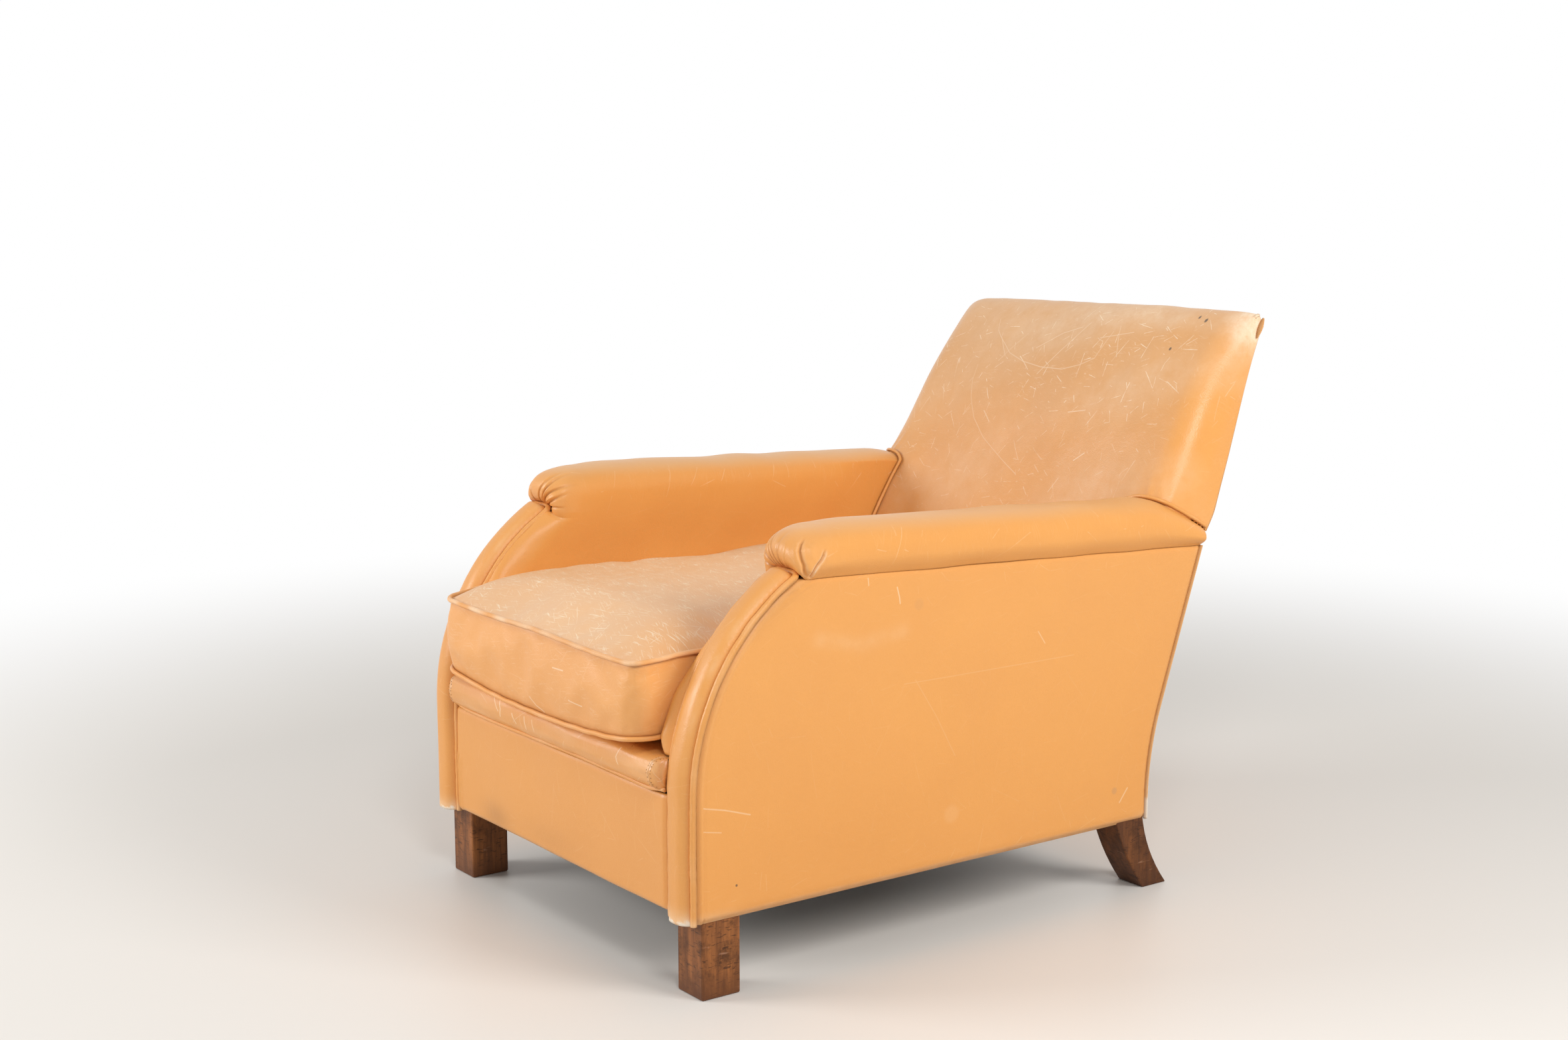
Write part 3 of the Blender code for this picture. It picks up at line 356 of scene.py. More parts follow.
# Builds a shader: each method adds a node to the tree and gives back the socket it feeds
class Paint:
    def __init__(self, tree):
        self.tree = tree

    # Links a socket to an input, or sets the input to a plain value
    def feed(self, value, socket):
        if isinstance(value, bpy.types.NodeSocket):
            self.tree.links.new(value, socket)
        elif socket.type == "RGBA":
            socket.default_value = (*value[:3], 1.0)
        else:
            socket.default_value = value

    # Feeds an input of the material's own shader
    def shade(self, key, value):
        self.feed(value, self.tree.nodes["Principled BSDF"].inputs[key])

    # A node of a kind, with its inputs fed and its settings set
    def node(self, kind, inputs=None, **settings):
        node = self.tree.nodes.new("ShaderNode" + kind)
        for key, value in settings.items():
            setattr(node, key, value)
        for key, value in (inputs or {}).items():
            self.feed(value, node.inputs[key])
        return node

    # Place of a point in the object's own coordinates
    def place(self):
        return self.node("TexCoord").outputs["Object"]

    # A value that the mesh keeps on its points
    def stored(self, name, output="Fac"):
        return self.node("Attribute", attribute_name=name).outputs[output]

    # Arithmetic on numbers; times is a product, and plus a product with a number added
    def math(self, operation, *values, clamp=False):
        return self.node("Math", dict(enumerate(values)), operation=operation, use_clamp=clamp).outputs[0]

    def times(self, first, second, clamp=False):
        return self.math("MULTIPLY", first, second, clamp=clamp)

    def plus(self, value, gain, shift):
        return self.math("MULTIPLY_ADD", value, gain, shift)

    # A value times gain plus shift, kept between 0 and 1
    def ramp(self, value, gain, shift):
        return self.math("MULTIPLY_ADD", value, gain, shift, clamp=True)

    # Arithmetic on vectors, which gives a vector or, for lengths and products, a number
    def vector(self, operation, *values):
        node = self.node("VectorMath", dict(enumerate(values)), operation=operation)
        return node.outputs["Value" if operation in ("LENGTH", "DOT_PRODUCT", "DISTANCE") else "Vector"]

    # X, Y and Z of a vector
    def split(self, vector):
        return self.node("SeparateXYZ", {"Vector": vector}).outputs

    # A colour between two others by a factor
    def mix(self, factor, first, second):
        return self.node("Mix", {0: factor, 6: first, 7: second}, data_type="RGBA").outputs[2]

    # A value that falls from 1 to 0 as the first number rises from low to high
    def fall(self, value, low, high):
        limits = {"Value": value, "From Min": low, "From Max": high, "To Min": 1.0, "To Max": 0.0}
        return self.node("MapRange", limits, interpolation_type="SMOOTHSTEP").outputs[0]

    # Fractal noise at a place
    def noise(self, place, scale, detail, rough=0.5, distort=0.0, **settings):
        inputs = {"Vector": place, "Scale": scale, "Detail": detail, "Roughness": rough}
        return self.node("TexNoise", inputs | {"Distortion": distort}, **settings).outputs[0]

    # Feeds the shader's normal with a relief from a height
    def bump(self, height, strength, distance):
        bump = self.node("Bump", {"Height": height, "Strength": strength, "Distance": distance})
        self.shade("Normal", bump.outputs[0])

    # Short strokes scattered over the leather: each Voronoi cell turns its own middle by a
    # random angle, bends it, and keeps a thin band of it as a stroke
    def strokes(self, cut, cell, length, width, turn, spread, shift, bend=0.12):
        scaled = self.vector("MULTIPLY_ADD", cut, (1 / cell,) * 3, (shift, shift * 0.7, 0.0))
        cells = self.node("TexVoronoi", {"Vector": scaled, "Scale": 1.0}, voronoi_dimensions="2D").outputs
        local = self.vector("SUBTRACT", scaled, cells["Position"])
        chance = self.node("SeparateColor", {"Color": cells["Color"]}).outputs
        angle = self.plus(chance[0], spread, turn - spread / 2)
        turned = self.node("VectorRotate", {"Vector": local, "Angle": angle}, rotation_type="Z_AXIS")
        x, y, _ = self.split(turned.outputs[0])
        curve = self.plus(chance[1], 2 * bend, -bend)
        y = self.plus(self.times(x, x), curve, y)
        reach = self.plus(chance[2], length / cell * 0.8, length / cell * 0.1)
        along = self.math("GREATER_THAN", reach, self.math("ABSOLUTE", x))
        across = self.fall(self.math("ABSOLUTE", y), width / cell * 0.25, width / cell)
        return self.times(along, across)

    # Fine fibrous scratches: the crests of a noise drawn out along one direction
    def fibres(self, cut, turn, long, thin, keep, shift):
        mapped = self.node("Mapping", {"Vector": cut, "Location": (shift, 0.3 * shift, 0.0),
                                       "Rotation": (0.0, 0.0, turn), "Scale": (long, thin, 1.0)},
                           vector_type="TEXTURE").outputs[0]
        return self.ramp(self.noise(mapped, 1.0, 2.0, noise_dimensions="2D"), 8.0, -8.0 * keep)

    # One drawn mark: the distance to each stretch of a polyline, the nearest kept; the
    # axis that points out of the surface hardly counts
    def drawn(self, place, line, width, weights):
        line = (np.asarray(line, float) + (0, rowY, 0)) * weights
        nearest = None
        for first, second in zip(line, line[1:]):
            step = second - first
            local = self.vector("SUBTRACT", place, tuple(first))
            share = self.vector("DOT_PRODUCT", local, tuple(step))
            share = self.times(share, 1 / (step @ step), clamp=True)
            onLine = self.node("VectorMath", {0: tuple(step), "Scale": share}, operation="SCALE").outputs[0]
            distance = self.vector("DISTANCE", local, onLine)
            nearest = distance if nearest is None else self.math("MINIMUM", nearest, distance)
        return self.fall(nearest, width * 0.2, width)


# A new material, and the builder of its nodes
def newMaterial(name):
    material = bpy.data.materials.new(name)
    material.use_nodes = True
    return material, Paint(material.node_tree)


# Leather: mottled dye, faded, rubbed and chipped where its values say, with scattered
# strokes, fibres and drawn marks, soil and painted shade, and a bump of pebbled grain and soft creases
def leatherMaterial(name, look, marks=((), ()), stains=()):
    material, paint = newMaterial(name)
    pattern, size = leatherPattern, look["stroke"]
    place = paint.place()
    cut = paint.stored("cut", "Vector")
    rub, soilAndShade, fade, scuff = (paint.stored(key) for key in ("rub", "soilAndShade", "fade", "scuff"))
    dye = paint.ramp(paint.noise(place, *pattern["dye"]), *pattern["dyeRamp"])
    colour = paint.mix(paint.times(dye, pattern["dyeShare"]), look["base"], look["deep"])
    patchy = paint.noise(place, *pattern["patches"])
    patch = paint.ramp(patchy, *pattern["patchRamp"])
    blotch = paint.plus(dye, 0.5, 0.75)
    colour = paint.mix(paint.times(fade, blotch, clamp=True), colour, look["faded"])
    lines = [paint.strokes(cut, cell * size, long * size, *rest) for cell, long, *rest in pattern["strokes"]]
    hair = [paint.fibres(cut, turn, long * size, *rest) for turn, long, *rest in pattern["fibres"]]
    hair = paint.times(paint.math("MAXIMUM", *hair), look["hair"])
    lines = paint.math("MAXIMUM", paint.math("MAXIMUM", *lines), hair)
    lines = paint.times(lines, paint.ramp(patchy, *pattern["gaps"]))
    worn = paint.times(lines, paint.times(scuff, look["scratch"], clamp=True))
    weights, lines = marks
    if lines:
        flat = paint.vector("MULTIPLY", place, weights)
    for line, width, strength in lines:
        worn = paint.math("MAXIMUM", worn, paint.times(paint.drawn(flat, line, width, weights), strength))
    rubbed = paint.times(rub, paint.plus(patch, 0.75, 0.25), clamp=True)
    worn = paint.math("MAXIMUM", rubbed, worn)
    colour = paint.mix(worn, colour, look["pale"])
    sharp = pattern["chipSharpness"]
    chipped = paint.ramp(paint.math("ADD", rub, patchy), sharp, -sharp * look["chipFrom"])
    colour = paint.mix(chipped, colour, look["chip"])
    for weights, centre, radius, strength, tint in stains:
        centre = tuple((np.asarray(centre) + (0, rowY, 0)) * weights)
        distance = paint.vector("DISTANCE", paint.vector("MULTIPLY", place, weights), centre)
        spot = paint.fall(distance, radius * 0.45, radius)
        colour = paint.mix(paint.times(spot, strength), colour, tint)
    # Soil, and painted shade along seams, in creases and beside pipings, darken the colour
    paint.shade("Base Color", paint.mix(soilAndShade, colour, pattern["soilAndShade"]))
    grain = paint.node("TexVoronoi", {"Vector": place, "Scale": pattern["pebbles"]}).outputs["Distance"]
    creases = paint.noise(place, *pattern["creases"])
    paint.bump(paint.plus(grain, pattern["pebbleShare"], creases), look["grain"], pattern["bumpDepth"])
    rough = paint.plus(patchy, pattern["roughPatches"], look["rough"] - pattern["roughPatches"] / 2)
    paint.shade("Roughness", paint.plus(worn, pattern["roughWear"], rough))
    paint.shade("Specular IOR Level", look["gloss"])
    return material


# Marks on a flat face: each line has two coordinates, and the third is the same for all
def flatMarks(weights, axis, level, rows):
    return weights, [(np.insert(np.asarray(line, float), axis, level, axis=1), width, strength)
                     for line, width, strength in rows]


# Drawn marks: a polyline, its width and its strength. Stains: the face, the centre, the
# radius, the strength and the colour
sideways, frontways = (0.02, 1.0, 1.0), (1.0, 0.02, 1.0)
marks = {
    "side": flatMarks(sideways, 0, 0.3195, [
        (((0.000, 0.243), (0.030, 0.236), (0.067, 0.224)), 0.0014, 0.40),
        (((0.000, 0.214), (0.025, 0.209)), 0.0011, 0.35),
        (((0.303, 0.351), (0.588, 0.349)), 0.0009, 0.15),
        (((0.320, 0.354), (0.354, 0.302), (0.386, 0.245)), 0.0009, 0.14),
        (((0.290, 0.476), (0.2935, 0.4635), (0.2947, 0.4550)), 0.0014, 0.55),
        (((0.2445, 0.4928), (0.2456, 0.4836)), 0.0012, 0.45),
        (((0.524, 0.389), (0.536, 0.372)), 0.0012, 0.35),
        (((0.678, 0.131), (0.692, 0.149)), 0.0016, 0.45),
    ]),
    "roll": flatMarks(frontways, 1, -0.034, [
        (((-0.134, 0.292), (-0.126, 0.286), (-0.116, 0.276)), 0.0012, 0.7),
        (((-0.116, 0.290), (-0.110, 0.280), (-0.111, 0.270)), 0.0014, 0.8),
        (((-0.081, 0.280), (-0.072, 0.268)), 0.0014, 0.7),
        (((-0.050, 0.282), (-0.046, 0.266)), 0.0014, 0.7),
        (((-0.029, 0.282), (-0.024, 0.268)), 0.0012, 0.6),
        (((0.181, 0.292), (0.176, 0.280), (0.181, 0.272)), 0.0012, 0.7),
    ]),
    "seat": flatMarks(frontways, 1, -0.051, [
        (((0.000, 0.322), (0.010, 0.312), (0.025, 0.306)), 0.0012, 0.6),
        (((0.099, 0.338), (0.125, 0.335)), 0.0014, 0.5),
        (((0.060, 0.372), (0.082, 0.372)), 0.0014, 0.5),
    ]),
    "back": (frontways, [
        (((-0.179, 0.871, 0.738), (-0.167, 0.860, 0.723), (-0.148, 0.853, 0.713), (-0.111, 0.840, 0.695),
          (-0.073, 0.834, 0.686), (-0.030, 0.831, 0.682), (0.017, 0.832, 0.683), (0.049, 0.838, 0.692),
          (0.072, 0.846, 0.703), (0.078, 0.872, 0.740)), 0.0010, 0.42),
        (((-0.169, 0.825, 0.673), (-0.164, 0.810, 0.650), (-0.149, 0.797, 0.626), (-0.125, 0.784, 0.599),
          (-0.090, 0.774, 0.575), (-0.041, 0.764, 0.553), (0.007, 0.755, 0.534)), 0.0009, 0.34),
        (((-0.150, 0.862, 0.715), (-0.118, 0.850, 0.690)), 0.0009, 0.45),
        (((-0.096, 0.868, 0.724), (-0.128, 0.842, 0.682)), 0.0009, 0.40),
        (((-0.060, 0.858, 0.706), (-0.022, 0.872, 0.730), (0.010, 0.880, 0.741)), 0.0010, 0.50),
        (((-0.030, 0.838, 0.672), (0.004, 0.866, 0.720), (0.022, 0.884, 0.748)), 0.0011, 0.50),
        (((0.060, 0.872, 0.730), (0.118, 0.880, 0.742)), 0.0010, 0.45),
        (((0.085, 0.884, 0.748), (0.112, 0.858, 0.708)), 0.0009, 0.45),
        (((-0.110, 0.800, 0.612), (-0.090, 0.792, 0.598)), 0.0011, 0.45),
        (((0.068, 0.806, 0.628), (0.100, 0.812, 0.634)), 0.0013, 0.50),
        (((0.096, 0.758, 0.540), (0.086, 0.748, 0.520)), 0.0010, 0.45),
        (((0.112, 0.770, 0.566), (0.128, 0.778, 0.578)), 0.0013, 0.55),
    ]),
}
brown, black, cream = (0.45, 0.25, 0.12), (0.09, 0.06, 0.04), (0.90, 0.62, 0.36)
stains = {
    "side": [
        (sideways, (0.3195, 0.668, 0.149), 0.0065, 0.35, brown),
        (sideways, (0.3195, 0.325, 0.450), 0.010, 0.14, brown),
        (sideways, (0.3195, 0.382, 0.168), 0.016, 0.10, cream),
        (sideways, (0.3195, 0.047, 0.139), 0.0022, 0.8, black),
    ],
    "back": [
        (frontways, (0.217, 0.893, 0.769), 0.0026, 0.9, black),
        (frontways, (0.233, 0.891, 0.766), 0.0034, 0.9, black),
        (frontways, (0.201, 0.868, 0.726), 0.0028, 0.85, black),
    ],
}
bodyLeather = leatherMaterial("bodyLeather", leatherLook["body"])
sideLeatherMarked = leatherMaterial("sideLeatherMarked", leatherLook["body"], marks["side"], stains["side"])
leatherLook["roll"] = leatherLook["body"] | {"rough": 0.31, "gloss": 0.65}
rollLeather = leatherMaterial("rollLeather", leatherLook["roll"], marks["roll"])
seatLeather = leatherMaterial("seatLeather", leatherLook["seat"], marks["seat"])
backLeather = leatherMaterial("backLeather", leatherLook["back"], marks["back"], stains["back"])

woodLook = {
    "leg": {"base": (0.360, 0.128, 0.034), "deep": (0.110, 0.036, 0.011), "pale": (0.42, 0.22, 0.13),
            "rough": 0.42, "gloss": 0.3, "foot": 1.7, "along": 2},
    # The rear legs: a darker copy of the leg wood, painted shade for legs that stand in the chair's shade
    "rear": {"base": (0.170, 0.058, 0.016), "deep": (0.060, 0.020, 0.007), "pale": (0.36, 0.18, 0.10),
             "rough": 0.45, "gloss": 0.25, "foot": 1.0, "along": 2},
    "frame": {"base": (0.52, 0.34, 0.19), "deep": (0.38, 0.23, 0.12), "pale": (0.62, 0.46, 0.30),
              "rough": 0.6, "gloss": 0.4, "foot": 0.0, "along": 0},
}

# What all woods share. Layers: how a place is stretched, the noise's scale, detail,
# roughness and distortion, its ramp, and its share in the colour
woodPattern = {
    "across": 70.0, "along": 5.0, "grain": (1.1, 8.0, 0.72, 0.6), "grainRamp": (3.2, -1.15),
    "pores": (7.0, 3.0), "poreRamp": (8.0, -4.9), "poreShare": 0.6,
    "stain": (24.0, 6.0, 0.7), "stainRamp": (6.0, -3.05), "stainShare": 0.75, "stainDark": 0.35,
    "scrapes": ((30.0, 30.0, 160.0), (1.0, 4.0), (14.0, -9.4), 0.55),
    "cuts": ((75.0, 75.0, 420.0), (1.0, 3.0, 0.5, 0.8), (14.0, -8.3), 0.7), "cutDark": 0.3,
    "footHeight": 0.045, "bump": (0.35, 0.0012), "roughStain": 0.3,
}


# Wood: grain and pores from noises drawn out along one axis, dark stains, pale scratches,
# dark cuts across the grain, and a darker foot
def woodMaterial(name, look):
    material, paint = newMaterial(name)
    place = paint.place()
    pattern = woodPattern
    stretch = [pattern["along"] if axis == look["along"] else pattern["across"] for axis in range(3)]
    stretched = paint.vector("MULTIPLY", place, tuple(stretch))
    grain = paint.noise(stretched, *pattern["grain"])
    pores = paint.noise(stretched, *pattern["pores"])
    stain = paint.noise(place, *pattern["stain"])
    colour = paint.mix(paint.ramp(grain, *pattern["grainRamp"]), look["base"], look["deep"])
    dark = paint.times(paint.ramp(stain, *pattern["stainRamp"]), pattern["stainShare"])
    colour = paint.mix(dark, colour, tuple(pattern["stainDark"] * v for v in look["deep"]))
    pore = paint.ramp(pores, *pattern["poreRamp"])
    colour = paint.mix(paint.times(pore, pattern["poreShare"]), colour, look["deep"])
    cutTint = tuple(pattern["cutDark"] * v for v in look["deep"])
    for key, tint in (("scrapes", look["pale"]), ("cuts", cutTint)):
        scale, noise, ramp, share = pattern[key]
        layer = paint.ramp(paint.noise(paint.vector("MULTIPLY", place, scale), *noise), *ramp)
        colour = paint.mix(paint.times(layer, share), colour, tint)
    foot = paint.times(paint.fall(paint.split(place)[2], 0.0, pattern["footHeight"]), stain)
    paint.shade("Base Color", paint.mix(paint.times(foot, look["foot"]), colour, look["deep"]))
    paint.bump(paint.plus(pore, -pattern["poreShare"], grain), *pattern["bump"])
    rough = look["rough"] - 0.4 * pattern["roughStain"]
    paint.shade("Roughness", paint.plus(stain, pattern["roughStain"], rough))
    paint.shade("Specular IOR Level", look["gloss"])
    return material


# Woven cloth: two crossed sine weaves raise warp and weft in turn, with uneven yarn colour
def wovenMaterial(name, light, dark, pitch, rough):
    material, paint = newMaterial(name)
    place = paint.place()
    x, y, z = paint.split(place)
    across = paint.times(x, 2 * math.pi / pitch)
    along = paint.times(paint.math("ADD", y, z), 2 * math.pi / pitch)
    weave = paint.times(paint.math("SINE", across), paint.math("SINE", along))
    tone = paint.ramp(weave, 0.3, paint.noise(place, 90.0, 4.0))
    paint.shade("Base Color", paint.mix(tone, dark, light))
    paint.bump(weave, 0.5, 0.0006)
    paint.shade("Roughness", rough)
    return material


# Steel wire: grey metal with rust in patches, which makes it rougher
def steelMaterial(name):
    material, paint = newMaterial(name)
    rust = paint.ramp(paint.noise(paint.place(), 60.0, 6.0), 4.0, -2.2)
    paint.shade("Base Color", paint.mix(rust, (0.40, 0.39, 0.38), (0.24, 0.12, 0.06)))
    paint.shade("Roughness", paint.plus(rust, 0.4, 0.35))
    paint.shade("Metallic", 0.9)
    return material


# The rear legs take the darker wood as painted shade
legWood, shadedRearLegWood, frameWood = (woodMaterial(name, woodLook[key]) for name, key in (
    ("legWood", "leg"), ("shadedRearLegWood", "rear"), ("frameWood", "frame")))
jute = wovenMaterial("jute", (0.52, 0.40, 0.25), (0.30, 0.21, 0.12), 0.0030, 0.9)
blackCloth = wovenMaterial("blackCloth", (0.030, 0.030, 0.032), (0.012, 0.012, 0.013), 0.0012, 0.9)
waxedThread = wovenMaterial("waxedThread", (0.42, 0.19, 0.07), (0.25, 0.10, 0.04), 0.0010, 0.5)
steelWire = steelMaterial("steelWire")
nodeMaterials = (
    (legWood, ("front_leg",)), (shadedRearLegWood, ("rear_leg",)), (steelWire, ("seat_spring",)),
    (jute, ("seat_webbing", "back_webbing", "spring_hessian")), (blackCloth, ("dust_cover",)),
    (bodyLeather, ("seat_deck",)),
    (frameWood, ("front_rail", "rear_rail", "side_rail", "front_post", "back_post", "back_top_rail",
                 "back_tuck_rail", "arm_rail", "arm_tuck_rail", "corner_block")),
)
for nodeName, node in nodes.items():
    for material, starts in nodeMaterials:
        if nodeName.startswith(starts):
            node.data.materials.clear()
            node.data.materials.append(material)
print("materials made")

# Side leathers

sidePanel = {
    "columns": 156, "rows": 110, "frontInset": 0.0108, "rearInset": 0.0025, "edgeDip": 0.0030,
    "crown": 0.0014, "puckerPitch": 0.0062, "streak": [(0, 0.170, 0.4255), (0, 0.236, 0.4107), (0, 0.300, 0.420)],
}


# The panel between the front arc, the seam under the arm and the rear line. Share a runs
# from front to rear and share b from bottom to top; a point's height depends on its Y
# through the sloping seam, so the two are found in turn
def sideLeather(side, sign):
    near = sign > 0
    a, b = np.broadcast_arrays(np.linspace(0, 1, sidePanel["columns"])[None] ** 1.25,
                               np.linspace(0, 1, sidePanel["rows"])[:, None] ** 0.8)
    bottom, arcStart = chair["coverBottom"], chair["arcStart"]
    y = 0.15 + 0.6 * a
    for _ in range(8):
        z = bottom + b * (seamHeight(y) - bottom)
        angle = np.arcsin(clamp((z - arcStart) / (chair["arcRadius"] - sidePanel["frontInset"])))
        along = np.where(z < arcStart, z - bottom, chair["frontStraight"] + angle * chair["arcRadius"])
        front = frontEdge(along, -sidePanel["frontInset"])[0]
        y = front + a * (rearLine(z) - sidePanel["rearInset"] - front)
    width = rearLine(z) - front
    fromFront, fromRear = a * width * np.cos(angle * 0.8), (1 - a) * width
    fromTop, fromBottom = (1 - b) * (seamHeight(y) - bottom), z - bottom
    flat = grid(0, y, z)
    x = chair["half"] + sidePanel["crown"] * np.sin(np.pi * a) * np.sin(np.pi * b) - 0.0008
    x += 0.0006 * waves(flat, 0.16, 11 if near else 12) * np.sin(np.pi * a)
    x -= sidePanel["edgeDip"] * hump(fromFront, 0.0035)
    fold = 0.0011 * hump(fromFront - 0.0065, 0.0024) - 0.0012 * hump(fromFront - 0.0102, 0.0013)
    x += (1 - ease(z, 0.40, 0.47)) * fold
    for distance, drop in ((fromTop, 0.0030), (fromBottom, 0.0035), (fromRear, 0.0022)):
        x -= drop * hump(distance, 0.0030)
    pull = hump(fromFront - 0.010, 0.016) * ease(along, 0.36, 0.46)
    pucker = (along + 0.25 * fromFront + 0.002 * waves(flat, 0.02, 5)) / sidePanel["puckerPitch"]
    x += 0.0007 * pull * np.sin(2 * np.pi * pucker)
    ends = np.maximum(hump(fromFront - 0.020, 0.030), 0.8 * hump(fromRear, 0.020))
    rub = np.maximum.reduce([
        0.5 * hump(fromBottom, 0.003), 0.66 * hump(fromBottom, 0.009) * ends, 0.3 * hump(fromRear, 0.003),
        0.12 * hump(fromFront - 0.004, 0.006) * ease(z, 0.1, 0.5)])
    # Painted shade: darker along the seam under the arm and along the front edge, and softly near the front just under
    # the arm's nose
    soilAndShade = 0.55 * np.maximum(hump(fromTop, 0.0016), hump(fromFront, 0.0016))
    obj = makeSheet(f"sideLeather_{side}", grid(x * sign, y, z), (0, 0.4, 0.3), 0.0026, {
        "rub": rub + 0.14 * hump(nearLine(flat, sidePanel["streak"])[0], 0.010) * near,
        "soilAndShade": clamp(soilAndShade + 0.16 * hump(fromFront, 0.020) * hump(z - 0.475, 0.035)),
        "scuff": 0.22 + 0.5 * hump(fromBottom, 0.04) + 0.3 * hump(fromTop, 0.03),
        "fade": 0.06 + 0.10 * ease(z, 0.15, 0.45),
    })
    dress(obj, sideLeatherMarked if near else bodyLeather, "tan_leather", f"outside_arm_{side}")


for side, sign in sides.items():
    sideLeather(side, sign)
print("side leathers made")

# Facings and their welts

facing = {
    "half": 0.0212, "crown": 0.0078, "groove": 0.0060, "rows": 260, "columns": 44, "turn": 0.010,
    "weltRows": 190, "weltSink": 0.0016,
}


# The padded strip up an arm's front: share w runs across it and the strip's height over
# the groove is a superellipse; it narrows round the end of the welt at the top
def facingStrip(side, sign):
    top = chair["frontLength"] - 0.0075
    along = join([-0.004], np.linspace(0, 1, facing["rows"]) ** 0.9 * top)[:, None]
    w = np.sin(np.linspace(-np.pi / 2, np.pi / 2, facing["columns"]))[None]
    left = clamp((top - along) / facing["turn"])
    narrow = 1 - 0.34 * (1 - np.sqrt(1 - (1 - left) ** 2))
    swell = 0.72 + 0.28 * np.sqrt(clamp(left * 2))
    lift = (facing["crown"] + facing["groove"]) * swell * (1 - np.abs(w) ** 2.6) ** 0.62 - facing["groove"]
    lift = np.where(left < 1, lift * np.sqrt(clamp(1 - (1 - left) ** 3)) - 0.006 * (1 - left) ** 3, lift)
    x = (chair["facingCentre"] + w * facing["half"] * narrow) * sign
    lift = lift + 0.0005 * waves(grid(x, along, w * 0.02), 0.07, 21 if sign > 0 else 22) * (1 - w ** 2)
    ripple = np.sin(2 * np.pi * (along + 0.02 * w ** 2) / 0.009)
    lift = lift + 0.00025 * ripple * np.abs(w) ** 3 * ease(along, 0.3, 0.42)
    lift = np.where(along < 0, lift - 0.006, lift)
    points = grid(x, *frontEdge(np.maximum(along, 0), lift))
    # Rub along the strip's two ridges higher up: partly wear, partly a painted highlight
    ridgeWearAndHighlight = (0.20 + 0.12 * waves(points, 0.05, 34)) * hump(np.abs(w) - 0.70, 0.16) * ease(along, 0.15, 0.35)
    # Painted shade at both edges of the strip, in the grooves by the welt
    values = {"rub": 0.80 * hump(along, 0.014) + ridgeWearAndHighlight, "soilAndShade": 0.7 * ease(np.abs(w), 0.955, 0.99)}
    obj = makeSheet(f"armFacing_{side}", points, (chair["facingCentre"] * sign, 0.3, 0.25), 0.003, values)
    dress(obj, bodyLeather, "tan_leather", f"arm_facing_{side}", fill=0.8)


# The welt: up the outer edge, round a quarter turn at each corner of the end, and down
def facingWelt(side, sign):
    reach, turn, rows = chair["weltReach"], facing["turn"], facing["weltRows"]
    last = chair["frontLength"] - chair["welt"] - turn
    corner = np.linspace(0, np.pi / 2, 14)[1:]
    across = join(np.full(rows, reach), reach - turn + turn * np.cos(corner))
    along = join(np.linspace(0, last, rows), last + turn * np.sin(corner))
    bridge = np.linspace(reach - turn, turn - reach, 12)[1:-1]
    across = join(across, bridge, -across[::-1])
    along = join(along, np.full(len(bridge), along[-1]), along[::-1])
    outward = frontOutward(along)
    middle = frontEdge(along, -chair["welt"] - facing["weltSink"])
    path = grid((chair["facingCentre"] + across) * sign, *middle)
    path += 0.0004 * waves(path, 0.05, 31)[:, None] * outward
    radius = chair["welt"] * (1 + 0.04 * waves(path, 0.012, 32))
    rub = clamp(0.05 + 0.14 * waves(path, 0.05, 33) + 0.6 * hump(along, 0.012))
    cord = makeCord(f"facingWelt_{side}", path, outward, radius, {"rub": rub}, 14)
    dress(cord, bodyLeather, "tan_leather", f"facing_welt_{side}")


for side, sign in sides.items():
    facingStrip(side, sign)
    facingWelt(side, sign)
print("facings and welts made")

# Arms

# Valleys: the column share where each runs, its width, depth and reach. Creases: a line,
# and its width, depth, puffed side and paleness
arm = {
    "noseRows": 90, "rearRows": 70, "padColumns": 170, "innerColumns": 70, "noseFall": 0.006,
    "innerRise": 0.002, "seamRear": 0.8165, "endCentre": np.array((0.300, 0.0, 0.480)),
    "creaseAxis": np.array((0.690, -0.711, 0.128)),
    1: {
        "valleys": [(0.50, 0.016, 0.0014, 0.8), (0.60, 0.012, 0.0021, 0.9), (0.66, 0.010, 0.0020, 0.9),
                    (0.74, 0.014, 0.0024, 0.8), (0.86, 0.016, 0.0018, 0.8), (0.41, 0.02, -0.0010, 0.7)],
        "creases": [
            ([(0.328, 0.1460, 0.5075), (0.328, 0.1557, 0.5166), (0.328, 0.1656, 0.5256),
              (0.328, 0.1691, 0.5309), (0.328, 0.1716, 0.5391)], 0.0011, 0.0036, 0.0012, 0.7),
            ([(0.322, 0.1458, 0.5100), (0.322, 0.1448, 0.5213), (0.322, 0.1404, 0.5295),
              (0.322, 0.1370, 0.5392), (0.322, 0.1379, 0.5464), (0.322, 0.1428, 0.5539)], 0.0016, 0.0026, 0.0010, 0.2),
            ([(0.325, 0.1500, 0.5130), (0.325, 0.1560, 0.5270), (0.325, 0.1520, 0.5390),
              (0.325, 0.1500, 0.5480)], 0.0050, -0.0022, 0.0, 0.0),
        ],
        "seed": 41, "fade": 0.42,
    },
    -1: {
        "valleys": [(0.16, 0.016, 0.0020, 0.8), (0.35, 0.018, 0.0018, 0.8), (0.58, 0.011, 0.0026, 0.9),
                    (0.645, 0.010, 0.0034, 0.95), (0.72, 0.011, 0.0034, 0.95), (0.80, 0.012, 0.0028, 0.85),
                    (0.685, 0.012, -0.0016, 0.8), (0.76, 0.012, -0.0016, 0.8), (0.90, 0.014, 0.0020, 0.8)],
        # The far arm's stronger fade on top is partly a painted sheen
        "creases": [], "seed": 42, "fade": 0.80,
    },
}


